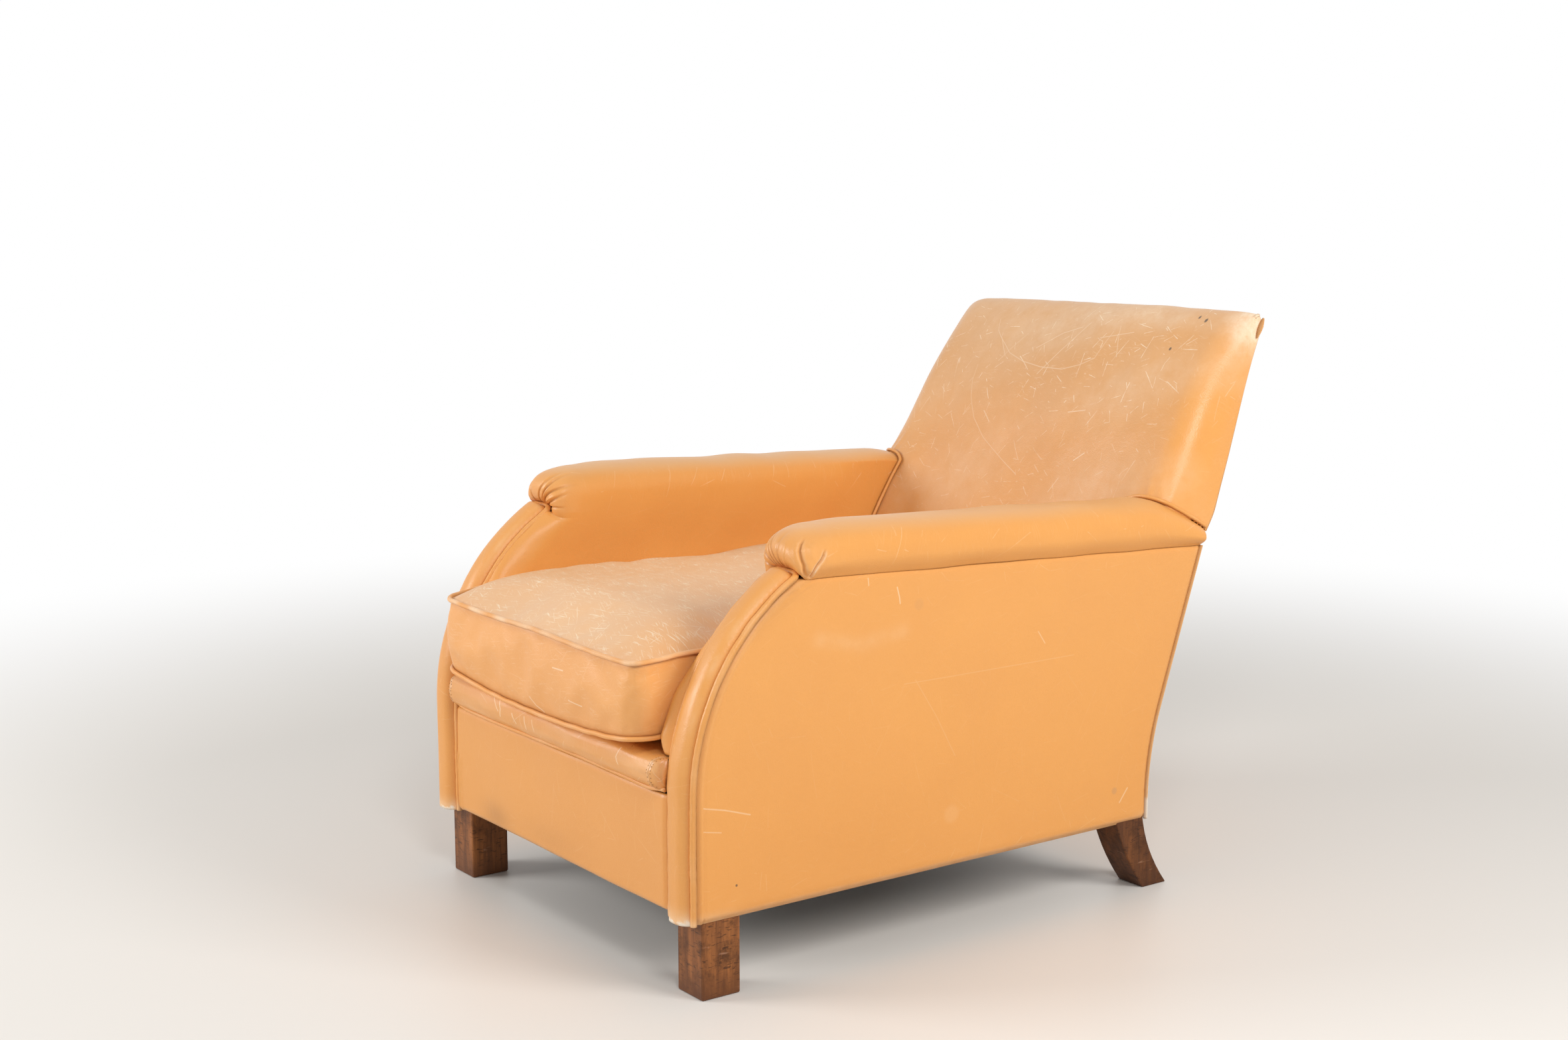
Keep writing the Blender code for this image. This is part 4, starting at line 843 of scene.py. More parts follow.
# Section of an arm's leather from the seam on its outer side, over the top, and down the
# inside to the seat: X, and height over the seam
def armSection():
    rise, drop = np.linspace(0, 1, 12), np.linspace(0, 1, 60)
    outer = grid(chair["half"] - 0.0015 + 0.0125 * np.sin(np.pi / 2 * rise), -0.002 + 0.0244 * rise)
    turn = np.linspace(0, np.pi, 160)[1:-1]
    over = signedPower(np.cos(turn), 0.84)
    top = grid(chair["padCentre"] + chair["padHalf"] * over, 0.0224 + 0.0416 * np.sin(turn) ** 0.84)
    inner = grid(0.238 + 0.0085 * ease(drop, 0, 1), 0.0224 - 0.09 * drop)
    reach = chair["seatTop"] - chair["seamZ"] + 0.0676 + arm["innerRise"]
    low = np.array([0.2465, -0.0676]) + np.linspace(0, 1, 30)[1:, None] * (0, reach)
    line = join(outer, top, inner, low)
    length = runningLength(line)
    padEnd = length[len(outer) + len(top) + 20]
    at = join(np.linspace(0, padEnd, arm["padColumns"]),
              np.linspace(padEnd, length[-1], arm["innerColumns"] + 1)[1:])
    return pointsAt(line, length, at)


# Full arm surface at place y for each column of the section. Near the back the padding
# no longer hangs over the inner face; the tops of the arms fall a little towards the nose
def armRow(section, y):
    x, rise = section.T
    x = np.where(x < chair["armInner"], x + (chair["armInner"] - x) * ease(y, 0.58, 0.70), x)
    seam = seamHeight(y)
    lowest = chair["seatTop"] + arm["innerRise"]
    z = np.where(rise > 0, seam + rise * (armTop(y) - seam) / chair["padHeight"],
                 seam + rise * (seam - lowest) / (chair["seamZ"] - lowest))
    return grid(x, y, z - arm["noseFall"] * (1 - ease(y, 0.15, 0.25)) * ease(rise, 0.002, 0.032))


# One skin for each arm. Its lines start on the facing's welt, swing forward round the
# nose as a quarter ellipse pushed forward by an overhang, run back along the arm, and
# close over its rear end
def armSkin(side, sign):
    section = armSection()
    pad, total = arm["padColumns"], len(section)
    g = clamp(np.arange(total) / (pad - 1))
    endY, endZ = frontEdge(chair["frontLength"], -0.0045)
    loop = smoothLine([
        (0.3160, 0.1530, 0.5030), (0.3175, 0.1470, 0.5080), (0.3165, endY + 0.001, endZ - 0.002),
        (0.3090, endY, endZ + 0.001), (0.2760, endY, endZ + 0.001), (0.2672, endY, endZ - 0.001),
        (0.2650, endY - 0.004, endZ - 0.008)], pad)
    startAlong = chair["frontLength"] - 0.0085
    low = chair["seatTop"] + arm["innerRise"] - chair["coverBottom"]
    down = startAlong + (low - startAlong) * np.linspace(0, 1, total - pad + 1)[1:]
    edge = join(loop, grid(0.2650, *frontEdge(down, -0.0045)))
    inner = join(np.zeros(pad), ease(np.linspace(0, 1, total - pad), 0, 0.25))
    arch = np.where(g < 1, np.sin(np.pi * g), 0)
    fullY = edge[:, 1] + (0.026 + 0.024 * arch) * (1 - inner) + 0.035 * inner
    closing = np.sqrt(clamp((edge[:, 2] - chair["seatTop"] + 0.004) / 0.030))
    bulge = (0.0030 + 0.0115 * (1 - ease(edge[:, 2], 0.365, 0.455))) * closing
    overhang = (0.004 + 0.019 * np.maximum(arch, 0) ** 0.8) * (1 - inner) + bulge * inner
    theta = (np.linspace(0, 1, arm["noseRows"]) ** 1.15 * np.pi / 2)[:, None]
    full = armRow(section, fullY)
    nose = edge[None] + (full - edge)[None] * np.sin(theta)[..., None]
    pushed = overhang * clamp(np.sin(2 * theta)) ** (0.6 + 0.35 * inner)
    nose[..., 1] = fullY - (fullY - edge[:, 1]) * np.cos(theta) - pushed
    nose[..., 0] -= 0.006 * inner * (1 - ease(edge[:, 2], 0.40, 0.47)) * closing * np.sin(2 * theta)
    rearMix = ease(section[:, 1], -0.05, 0.0)
    rearY = (backFront(np.clip(full[:, 2], 0.30, 0.50)) + 0.016) * (1 - rearMix) + arm["seamRear"] * rearMix
    t = np.linspace(0, 1, arm["rearRows"] + 1)[1:, None] ** 1.1
    rows = np.stack([armRow(section, row) for row in fullY + (rearY - fullY) * t])
    turn = np.linspace(0, np.pi / 2, 9)[1:, None]
    shrink = ((1 - np.cos(turn)) * 0.96 * rearMix)[..., None] * (1, 0, 1)
    end = rows[-1] + (arm["endCentre"] - rows[-1]) * shrink + np.sin(turn)[..., None] * (0, 0.0040, 0)
    points, values = armFolds(join(nose, rows, end) * (sign, 1, 1), g, sign)
    obj = makeSheet(f"armLeather_{side}", points, (chair["padCentre"] * sign, 0.4, 0.5), values=values)
    dress(obj, bodyLeather, "tan_leather", f"arm_pad_{side}", f"inside_arm_{side}", fill=0.85)


# Folds of an arm's leather: valleys fan out from the end of the facing and die away along
# the arm; creases follow drawn lines, sharp on one side and puffed on the other
def armFolds(points, g, sign):
    folds = arm[sign]
    normal = gridNormals(points)
    centre = points.mean(axis=(0, 1)) + (0.01 * sign, 0, 0)
    if np.einsum("ijk,ijk->ij", normal, points - centre).sum() < 0:
        normal = -normal
    rows = np.arange(len(points))[:, None] / arm["noseRows"]
    depth = worn = np.zeros(points.shape[:2])
    for at, wide, deep, reach in folds["valleys"]:
        drift = at + 0.012 * np.sin(5 * rows + 40 * at)
        fading = (1 - ease(rows, reach * 0.35, reach)) * ease(rows, 0.0, 0.08)
        depth = depth + deep * hump(g[None] - drift, wide) * fading
    mirrored = points * (sign, 1, 1)
    across = arm["creaseAxis"]
    flatten = np.eye(3) - np.outer(across, across)
    facingOut = ease(normal @ (across * (sign, 1, 1)), 0.0, 0.15) * (mirrored[..., 0] > 0.295)
    for line, wide, deep, puff, pale in folds["creases"]:
        distance, along = nearLine(mirrored @ flatten, np.asarray(line) @ flatten)
        ends = clamp(np.minimum(along * 6 + 0.5, (1 - along) * 5)) * facingOut
        raised = puff * hump(distance - 3.0 * wide, 2.2 * wide)
        depth = depth + (deep * hump(distance, wide) - raised) * ends
        worn = np.maximum(worn, pale * hump(distance - 1.7 * wide, 0.9 * wide) * ends)
    fine = 0.0003 * waves(points, 0.03, folds["seed"] + 1) * (1 - ease(rows, 0.6, 1.3))
    relief = 0.0007 * waves(points, 0.09, folds["seed"]) + fine
    y, z = points[..., 1], points[..., 2]
    top = clamp((z - seamHeight(y)) / chair["padHeight"])
    return points + normal * (relief - depth)[..., None], {
        "rub": clamp(0.10 * ease(top, 0.75, 1) + 0.08 * hump(y - 0.150, 0.030) * (top > 0) + worn),
        # Painted shade: darker in the depths of the valleys and creases, and along the seam where the skin starts
        "soilAndShade": np.clip(clamp(depth / 0.003) * 0.45 + 0.5 * ease(0.012 - g[None], 0, 0.010), 0, 0.8),
        # Faded over the top of the pad; the far arm's stronger fading is partly a painted sheen
        "fade": 0.08 + folds["fade"] * ease(top, 0.70, 1.0),
        "scuff": 0.25 + 0.75 * ease(top, 0.1, 0.5) * (1 - ease(top, 0.8, 1)),
    }


for side, sign in sides.items():
    armSkin(side, sign)
print("arms made")

# Seat cushion

cushion = {
    "front": -0.047, "rear": 0.658, "half": 0.2415, "corner": 0.036, "nearCorner": 0.015, "farCorner": 0.032,
    "low": 0.3020, "deep": 0.1075, "lift": 0.015, "crown": 0.0275, "frontCrown": 0.003, "belly": 0.0052,
    "seamIn": 0.0022, "across": 60, "along": 84, "up": 18,
    "cloth": {
        "quality": 6, "mass": 0.4, "tension_stiffness": 30, "compression_stiffness": 30,
        "shear_stiffness": 12, "bending_stiffness": 4.0, "use_pressure": True,
        "uniform_pressure_force": 0.9, "shrink_min": -0.006, "shrink_max": -0.006,
        "vertex_group_mass": "held",
    },
    "frames": 14, "cap": 0.006,
    "tucks": (
        ([(0.2440, -0.0200, 0.3960), (0.2380, -0.0440, 0.3900), (0.2240, -0.0500, 0.3740)], 0.0060, 0.0034),
        ([(0.2380, -0.0440, 0.3990), (0.2100, -0.0500, 0.3960), (0.1900, -0.0500, 0.3880)], 0.0045, 0.0016),
        ([(0.2440, -0.0300, 0.3800), (0.2360, -0.0460, 0.3640), (0.2300, -0.0500, 0.3450)], 0.0070, 0.0018),
    ),
}
cushion["middle"] = (cushion["front"] + cushion["rear"]) / 2
cushion["length"] = (cushion["rear"] - cushion["front"]) / 2


# Plan of the cushion from shares p and q: a rectangle whose corner squares are mapped
# onto quarter discs; the corners are tighter at the upper seam than at the lower
def cushionPlan(p, q, grow=0.0, upper=1.0):
    half, length = cushion["half"] + grow, cushion["length"] + grow
    tight = np.where(p > 0, cushion["nearCorner"], cushion["farCorner"])
    radius = cushion["corner"] + (tight - cushion["corner"]) * upper + grow
    x, y = p * half, q * length
    a = clamp((np.abs(x) - (half - radius)) / radius)
    b = clamp((np.abs(y) - (length - radius)) / radius)
    roundX = np.sign(x) * (np.minimum(np.abs(x), half - radius) + radius * a * np.sqrt(1 - b * b / 2))
    roundY = np.sign(y) * (np.minimum(np.abs(y), length - radius) + radius * b * np.sqrt(1 - a * a / 2))
    return roundX, cushion["middle"] + roundY


# Height of the upper or the lower seam: it wanders, and the lower one rises at the sides
def cushionSeam(x, y, upper):
    wander = 0.0011 * np.sin(23 * x + 1.3) + 0.0009 * np.sin(31 * y + 0.4)
    if upper:
        return cushion["low"] + cushion["deep"] + wander + 0.003 * ease(y, -0.03, 0.02)
    return cushion["low"] + cushion["lift"] * (x / cushion["half"]) ** 2 + 0.4 * wander


# Panels p by q for the top and the bottom, with a boxing strip between their outlines.
# The crown rises steeply inside the seams and is almost level over the middle
def cushionMesh():
    nx, ny, nz = cushion["across"], cushion["along"], cushion["up"]
    u, w = np.linspace(-1, 1, nx + 1)[:, None], np.linspace(-1, 1, ny + 1)[None]
    p, q = np.broadcast_arrays(1.38 * u - 0.38 * u ** 3, 1.38 * w - 0.38 * w ** 3)
    x, y = cushionPlan(p, q, -cushion["seamIn"])
    fromSeam = np.minimum((1 - np.abs(p)) * cushion["half"], (1 - np.abs(q)) * cushion["length"])
    rise = (1 - np.abs(p) ** 7) * (1 - np.abs(q) ** 10) * (1 - 0.5 * hump(fromSeam, 0.006))
    crown = cushion["crown"] + cushion["frontCrown"] * hump(q + 0.62, 0.42)
    flat = grid(x, y, 0)
    uneven = (0.0016 * waves(flat, 0.22, 101) + 0.0005 * waves(flat, 0.06, 102)) * clamp(fromSeam / 0.04)
    top = grid(x, y, cushionSeam(x, y, True) + crown * rise + uneven).reshape(-1, 3)
    lowX, lowY = cushionPlan(p, q, -cushion["seamIn"], 0.0)
    bottom = grid(lowX, lowY, cushionSeam(lowX, lowY, False) - 0.001 * rise).reshape(-1, 3)
    index = np.arange((nx + 1) * (ny + 1)).reshape(nx + 1, ny + 1)
    loop = join(index[:-1, 0], index[-1, :-1], index[:0:-1, -1], index[0, :0:-1])
    edgeP, edgeQ = p.reshape(-1)[loop], q.reshape(-1)[loop]
    share = np.linspace(0, 1, nz + 1)[1:-1, None]
    swell = -cushion["seamIn"] + (cushion["belly"] + cushion["seamIn"]) * np.sin(np.pi * share) ** 0.8
    high, low = top[loop, 2], bottom[loop, 2]
    box = grid(*cushionPlan(edgeP[None], edgeQ[None], swell, 1 - share), high + (low - high) * share)
    strip = grid(runningLength(box[0])[None] + 2.0, box[..., 2], 0)
    flat, strip = flat.reshape(-1, 3), strip.reshape(-1, 3)
    count, size = index.size, len(loop)
    base = count + size * (nz - 1)
    bands = [loop] + [count + size * k + np.arange(size) for k in range(nz - 1)] + [base + loop]
    quads = [gridFaces(nx + 1, ny + 1), gridFaces(nx + 1, ny + 1)[:, ::-1] + base]
    for upper, lower in zip(bands, bands[1:]):
        quads.append(grid(upper, np.roll(upper, -1), np.roll(lower, -1), lower))
    return {
        "points": join(top, box.reshape(-1, 3), bottom), "faces": join(*quads),
        "cut": join(flat, strip, flat), "seams": join(loop, base + loop), "edge": (edgeP, edgeQ),
        "part": np.repeat((0, 1, 2), (count, base - count, count)),
        "share": join(np.zeros(count), np.repeat(share[:, 0], size), np.ones(count)),
    }


# Folds in the boxing: soft upright folds over the front, and tucks below the front
# corners of the upper seam
def boxingFolds(points, boxing, share):
    x, y, z = points.T
    lean = x + 0.12 * (share - 0.5) ** 2 + 0.02 * np.sin(9 * x)
    folds = 0.9 * waves(grid(lean, 0.12 * y, 0.12 * z), 0.034, 107, 14) * np.sin(np.pi * share) ** 0.7
    push = 0.0015 * folds * (0.35 + 0.65 * hump(x + 0.06, 0.09)) * boxing * ease(-y, -0.02, 0.035)
    for sign, deep in ((1, 1.0), (-1, 0.3)):
        for line, wide, depth in cushion["tucks"]:
            distance, along = nearLine(points * (sign, 1, 1), line)
            push = push - deep * depth * hump(distance, wide) * (1 - 0.7 * along) * boxing
    out = unit(grid(x / cushion["half"], (y - cushion["middle"]) / cushion["length"], 0) ** 7)
    return points + out * push[:, None]


# Coordinates of a mesh's points as an array
def coordinates(mesh):
    values = np.empty(len(mesh.vertices) * 3, np.float32)
    mesh.vertices.foreach_get("co", values)
    return values.reshape(-1, 3)


# Lets the cushion swell under pressure as cloth with its seams held, and keeps the
# result; no point moves further than the cap
def inflate(obj, seams):
    scene = bpy.context.scene
    before = coordinates(obj.data)
    obj.vertex_groups.new(name="held").add(np.unique(seams).tolist(), 1.0, "REPLACE")
    cloth = obj.modifiers.new("cloth", "CLOTH")
    for key, value in cushion["cloth"].items():
        setattr(cloth.settings, key, value)
    cloth.settings.effector_weights.gravity = 0
    cloth.collision_settings.use_collision = False
    scene.frame_start, scene.frame_end = 1, cushion["frames"]
    for step in range(1, cushion["frames"] + 1):
        scene.frame_set(step)
    move = coordinates(obj.evaluated_get(bpy.context.evaluated_depsgraph_get()).data) - before
    obj.modifiers.remove(cloth)
    obj.vertex_groups.clear()
    scene.frame_set(1)
    length = np.linalg.norm(move, axis=1, keepdims=True)
    move *= np.minimum(1, cushion["cap"] / np.maximum(length, 1e-9))
    obj.data.vertices.foreach_set("co", (before + move).reshape(-1))
    obj.data.update()
    print("cushion moved by", float(length.max()))


# The cushion's skin: swollen, then folded, then subdivided once
def seatCushion(made):
    points, share, part = made["points"], made["share"], made["part"]
    top, boxing = part == 0, part == 1
    middle = np.linalg.norm((points[:, :2] - (0.02, 0.22)) / (0.30, 0.42), axis=1)
    # Painted shade: the boxing darkens just below the upper piping and just above the lower one, where their shadows
    # fall
    seams = 0.28 * ease(0.065 - share, 0, 0.04) + 0.45 * ease(share - 0.93, 0, 0.05)
    obj = makeMesh("seatCushion", points, made["faces"], (0, 0.3, 0.36), {
        "rub": np.where(top, 0.10, 0.03) + 0.12 * top * ease(-points[:, 1], -0.02, 0.035),
        # The top darkens in a broad ring round its middle, and the boxing by its seams as painted shade
        "soilAndShade": 0.10 * top * hump(middle - 0.8, 0.3) + boxing * seams,
        "fade": np.where(top, 1.0 - 0.45 * ease(middle, 0.55, 1.2), 0.20),
        "scuff": np.where(top, 1.7 - 0.6 * ease(middle, 0.6, 1.2), 0.30),
    }, made["cut"])
    inflate(obj, made["seams"])
    settled = boxingFolds(coordinates(obj.data) - (0, rowY, 0), boxing, share) + (0, rowY, 0)
    obj.data.vertices.foreach_set("co", settled.reshape(-1))
    smooth = obj.modifiers.new("smooth", "SUBSURF")
    smooth.levels = smooth.render_levels = 1
    dress(obj, seatLeather, "seat_leather", "seat_cushion", fill=0.8)


# A piping along one of the cushion's seams: upper is 1 or 0, rise lifts it off the seam,
# tilt turns its sides of painted shade, and worn is its mean rub and how much that varies
def cushionPiping(edge, name, upper, rise, tilt, worn):
    x, y = cushionPlan(*edge, 0.0008, upper)
    path = grid(x, y, cushionSeam(x, y, bool(upper)) + rise)
    path = path + 0.0004 * waves(path, 0.03, 105)[:, None] * (0, 0, 1)
    outward = unit(np.cross(np.roll(path, -1, axis=0) - np.roll(path, 1, axis=0), (0.0, 0.0, 1.0)))
    if (outward * (path - path.mean(axis=0))).sum() < 0:
        outward = -outward
    rub = clamp(worn[0] + worn[1] * waves(path, 0.04, 106))
    values = {"rub": rub, "fade": rub * 0.8 + 0.1, "scuff": 0.0}
    up, radius = outward * 0.8 + (0.0, 0.0, tilt), chair["piping"] + 0.0002
    cord = makeCord(f"cushionPiping{name}", path, up, radius, values, closed=True)
    dress(cord, seatLeather, "seat_leather", f"cushion_piping_{name.lower()}")


made = cushionMesh()
seatCushion(made)
cushionPiping(made["edge"], "Top", 1.0, 0.0006, 0.65, (0.26, 0.22))
cushionPiping(made["edge"], "Bottom", 0.0, -0.0006, -0.2, (0.03, 0.10))
print("cushion made")

# Roll and apron under the cushion

underCushion = {
    "rollFront": -0.034, "rollDepth": 0.066, "rollLow": 0.2538, "endTurn": 0.015, "capSeam": 0.0125,
    "apronY": -0.0185, "apronTop": 0.2500, "apronLow": 0.1045, "apronPipingZ": 0.2528,
    "apronFold": [(-0.2535, 0, 0.192), (-0.2575, 0, 0.160), (-0.2560, 0, 0.104)],
    "half": chair["facingCentre"] - chair["weltReach"] - chair["welt"],
}


# The stuffed roll: a rounded section carried across the seat; towards each end it turns
# back along a quarter circle, where a curved seam joins the end cap
def frontRoll():
    half, rollFront = underCushion["half"] - 0.0006, underCushion["rollFront"]
    endTurn, capSeam = underCushion["endTurn"], underCushion["capSeam"]
    turn = np.linspace(np.pi / 2, -np.pi / 2, 40)
    high, low = chair["seatTop"], underCushion["rollLow"]
    middle, tall = (high + low) / 2, (high - low) / 2
    backY = rollFront + underCushion["rollDepth"]
    y = rollFront + 0.0200 * (1 - np.abs(np.cos(turn)) ** 0.85)
    z = middle + tall * signedPower(np.sin(turn), 0.95)
    above, below = np.linspace(backY, y[0], 10)[:-1], np.linspace(y[-1], backY, 10)[1:]
    behind = np.linspace(low, high, 8)[1:-1]
    section = join(grid(above, high), grid(y, z), grid(below, low), grid(backY, behind))
    y, z = section[None, :, 0], section[None, :, 1]
    facingFront = join(0 * above, np.cos(turn), 0 * below, 0 * behind)[None]
    share = np.linspace(-1, 1, 281)[:, None]
    x = half * np.sign(share) * (1 - (1 - np.abs(share)) ** 1.35)
    fromEnd = half - np.abs(x)
    bend = 1 - np.sqrt(1 - np.clip(1 - fromEnd / endTurn, 0, 0.97) ** 2)
    inward = endTurn * 0.85 * bend * facingFront ** 0.5
    rings = grid(x, y + inward, middle + (z - middle) * (1 - 0.20 * bend))
    out = unit(grid(0 * x, -facingFront - 0.02, (z - middle) / tall))
    seamAt = fromEnd - capSeam * clamp(facingFront) ** 0.7
    onFront = facingFront > 0.02
    groove = (-0.0010 * hump(seamAt, 0.0007) + 0.0007 * hump(seamAt - 0.0017, 0.0011)
              + 0.0004 * hump(seamAt + 0.0015, 0.0010)) * onFront
    drawn = rings * (0.25, 1, 1)
    relief = 0.0005 * waves(rings, 0.12, 51) + 0.0004 * waves(drawn, 0.012, 52) + groove
    rings = rings + out * relief[..., None]
    rub = clamp(0.06 + 0.10 * waves(drawn, 0.02, 53) + 0.40 * hump(seamAt - 0.0025, 0.0015) * onFront)
    # Painted shade: darker in the groove of each cap seam
    values = {"rub": rub, "soilAndShade": 0.5 * hump(seamAt, 0.0006) * onFront, "fade": 0.15, "scuff": 1.3}
    obj = makeRings("frontRoll", rings, (0, 0.0, middle), values)
    dress(obj, rollLeather, "tan_leather", "seat_front_roll", fill=0.85)
    for side, sign in sides.items():
        rollStitches(rings, facingFront[0], side, sign, half - capSeam * facingFront[0] ** 0.7)


# Rows of short thread beads on both sides of a cap seam, each a stretched octahedron
def rollStitches(rings, facingFront, side, sign, seam):
    shown = np.flatnonzero(facingFront > 0.05)
    across = rings[:, shown[0], 0] * sign
    order = np.argsort(across)
    column = np.interp(np.linspace(0, len(shown) - 1, 15), np.arange(len(shown)), shown).round().astype(int)
    lines = []
    for offset in (0.0036, -0.0026):
        row = np.interp(seam[column] - offset, across[order], order).round().astype(int)
        lines.append(rings[np.clip(row, 0, len(rings) - 1), column])
    centres = join(*lines) + (0, -0.0003, 0)
    steps = unit(join(*(np.gradient(line, axis=0) for line in lines)))
    flank = unit(np.cross(steps, (0.0, -1.0, 0.0)))
    axes = np.stack([0.0011 * steps, 0.0004 * flank, 0.0004 * np.cross(flank, steps)], axis=1)
    corners = centres[:, None] + np.stack([axes, -axes], axis=2).reshape(-1, 6, 3)
    shape = np.array([(0, 2, 4), (2, 1, 4), (1, 3, 4), (3, 0, 4), (2, 0, 5), (1, 2, 5), (3, 1, 5), (0, 3, 5)])
    faces = (shape[None] + 6 * np.arange(len(centres))[:, None, None]).reshape(-1, 3)
    obj = makeMesh(f"rollStitches_{side}", corners, faces, centres.mean(axis=0) + (0, 0.05, 0))
    dress(closeMesh(obj), waxedThread, "tan_leather")


# The apron: a flat leather panel, a little slack, rolled under along its lower edge, with
# a fold at its far end
def frontApron():
    half, low, high = underCushion["half"] + 0.0006, underCushion["apronLow"], underCushion["apronTop"]
    a = np.linspace(-1, 1, 170)[None]
    b = join([-0.06, -0.02], np.linspace(0, 1, 58))[:, None]
    x, z = np.broadcast_arrays(a * half, low + np.maximum(b, 0) * (high - low))
    flat = grid(x, 0, z)
    y = underCushion["apronY"] - 0.0012 * np.sin(np.pi * clamp(b)) + 0.0007 * waves(flat, 0.14, 61)
    for distance, inward, wide in ((half * (1 - np.abs(a)), 0.004, 0.005), (z - low, 0.003, 0.0025),
                                   (z - high, 0.003, 0.003)):
        y = y + inward * hump(distance, wide)
    y = y + np.where(b < 0, 0.010 * -b / 0.06 + 0.002, 0)
    distance, share = nearLine(flat, underCushion["apronFold"])
    y = y + 0.0024 * hump(distance, 0.0016) * ease(share, 0, 0.15)
    y = y - 0.0018 * hump(distance - 0.004, 0.003) * ease(share, 0, 0.2)
    smudge = 0.35 * hump(x + 0.154, 0.035) * hump(z - 0.118, 0.020)
    smudge = smudge + 0.12 * hump(x + 0.01, 0.06) * hump(z - 0.122, 0.02)
    values = {"rub": 0.3 * hump(z - low, 0.004), "soilAndShade": smudge}
    obj = makeSheet("frontApron", grid(x, y, z), (0, 0.3, 0.2), 0.003, values)
    dress(obj, bodyLeather, "tan_leather", "front_apron", fill=0.5)


# The piping over the apron: a level line with a slow wave, rising at both ends
def apronPiping():
    x = np.linspace(-1, 1, 160) * (underCushion["half"] + 0.0006)
    z = 0.0012 * np.sin(14 * x + 0.6) + 0.0050 * ease(np.abs(x), 0.225, 0.264)
    path = grid(x, underCushion["apronY"] - 0.0012, underCushion["apronPipingZ"] + z)
    rub = clamp(0.08 + 0.12 * waves(path, 0.06, 64))
    cord = makeCord("apronPiping", path, (0.0, -1.0, 0.0), chair["piping"], {"rub": rub})
    dress(cord, bodyLeather, "tan_leather", "apron_piping")


frontRoll()
frontApron()
apronPiping()
print("roll and apron made")

# Back

back = {
    "half": 0.3165, "taper": 0.041, "edge": 0.050, "crown": 0.012, "roundStart": 0.700,
    "low": 0.2995, "lean": (-0.0885, 0.0200, 0.0360, 0.0016), "bulge": 0.0085,
    "farTop": 0.45, "nearTop": 0.09, "topEdge": 0.754, "frontRows": 110, "fallRows": 16, "wallColumns": 10,
    "outerTop": 0.758, "outerSeam": 0.4715, "armGap": 0.006, "tugPitch": 0.016,
    "wornCorner": (0.300, 0.925, 0.765),
}


# The whole top of the back leans: higher on the near side, lower on the far one
def backLean(x, z):
    return np.polyval(back["lean"], x) * ease(z, 0.58, 0.76)


# Rear edge of the back: the rear line, with a soft bulge over the arms
def rearEdge(z):
    return rearLine(z) + 0.0006 + back["bulge"] * ease(z, 0.475, 0.52) * (1 - ease(z, 0.56, 0.75))


# Crown of the back at a height: level over the arms, full near the top
def backCrown(z):
    return back["crown"] * clamp((np.asarray(z) - 0.49) / 0.14)


# Swelling of the back's sides just over the seat, where the arms press on it
def sideSwell(x, z):
    swell = 0.010 * ease(x, 0.19, 0.25) * (1 - ease(z, 0.47, 0.60)) * ease(z, 0.36, 0.42)
    return swell * (1 - ease(x, 0.300, 0.314))


# Half width of the back at a height, less an inset: it narrows above the arms
def backHalf(z, inset=0.0):
    return back["half"] - back["taper"] * np.maximum(z - chair["sweepStart"], 0) - inset


# How far an edge rounded by a quarter circle has fallen at a distance past its start
def quarterDrop(over):
    return back["edge"] - np.sqrt(back["edge"] ** 2 - over ** 2)


# How far the crest falls towards the two top corners: a quarter circle and a slow crown
def topDrop(x):
    across = np.minimum(np.abs(x) / (1 - back["taper"] * 0.245 / back["half"]), back["half"])
    turned = quarterDrop(np.maximum(across - back["half"] + back["edge"], 0))
    crowned = turned + back["crown"] * (across / back["half"]) ** 2
    return np.where(x < 0, back["farTop"], back["nearTop"]) * crowned


# Side view of the padded back, from the seat up and over the top to its rear edge, with
# the share of the edge rounding left at each point
def backProfile():
    z = np.linspace(back["low"], back["roundStart"], back["frontRows"])
    y = backFront(z)
    start, top = np.array([y[-1], z[-1]]), chair["backTop"]
    bend = np.array([start[0] + 0.70 * (top - back["roundStart"]) * 1.12, top])
    crest = np.array([chair["backCrest"], top])
    t = np.linspace(0, 1, 50)[1:, None]
    roll = (1 - t) ** 2 * start + 2 * t * (1 - t) * bend + t * t * crest
    turn = np.linspace(0, np.pi / 2, back["fallRows"] + 1)[1:]
    rear, low = float(rearEdge(back["topEdge"])), back["topEdge"]
    fall = grid(crest[0] + (rear - crest[0]) * np.sin(turn), low + (top - low) * np.cos(turn))
    return join(grid(y, z), roll, fall), join(np.zeros(len(z)), t[:, 0], np.ones(len(turn)))


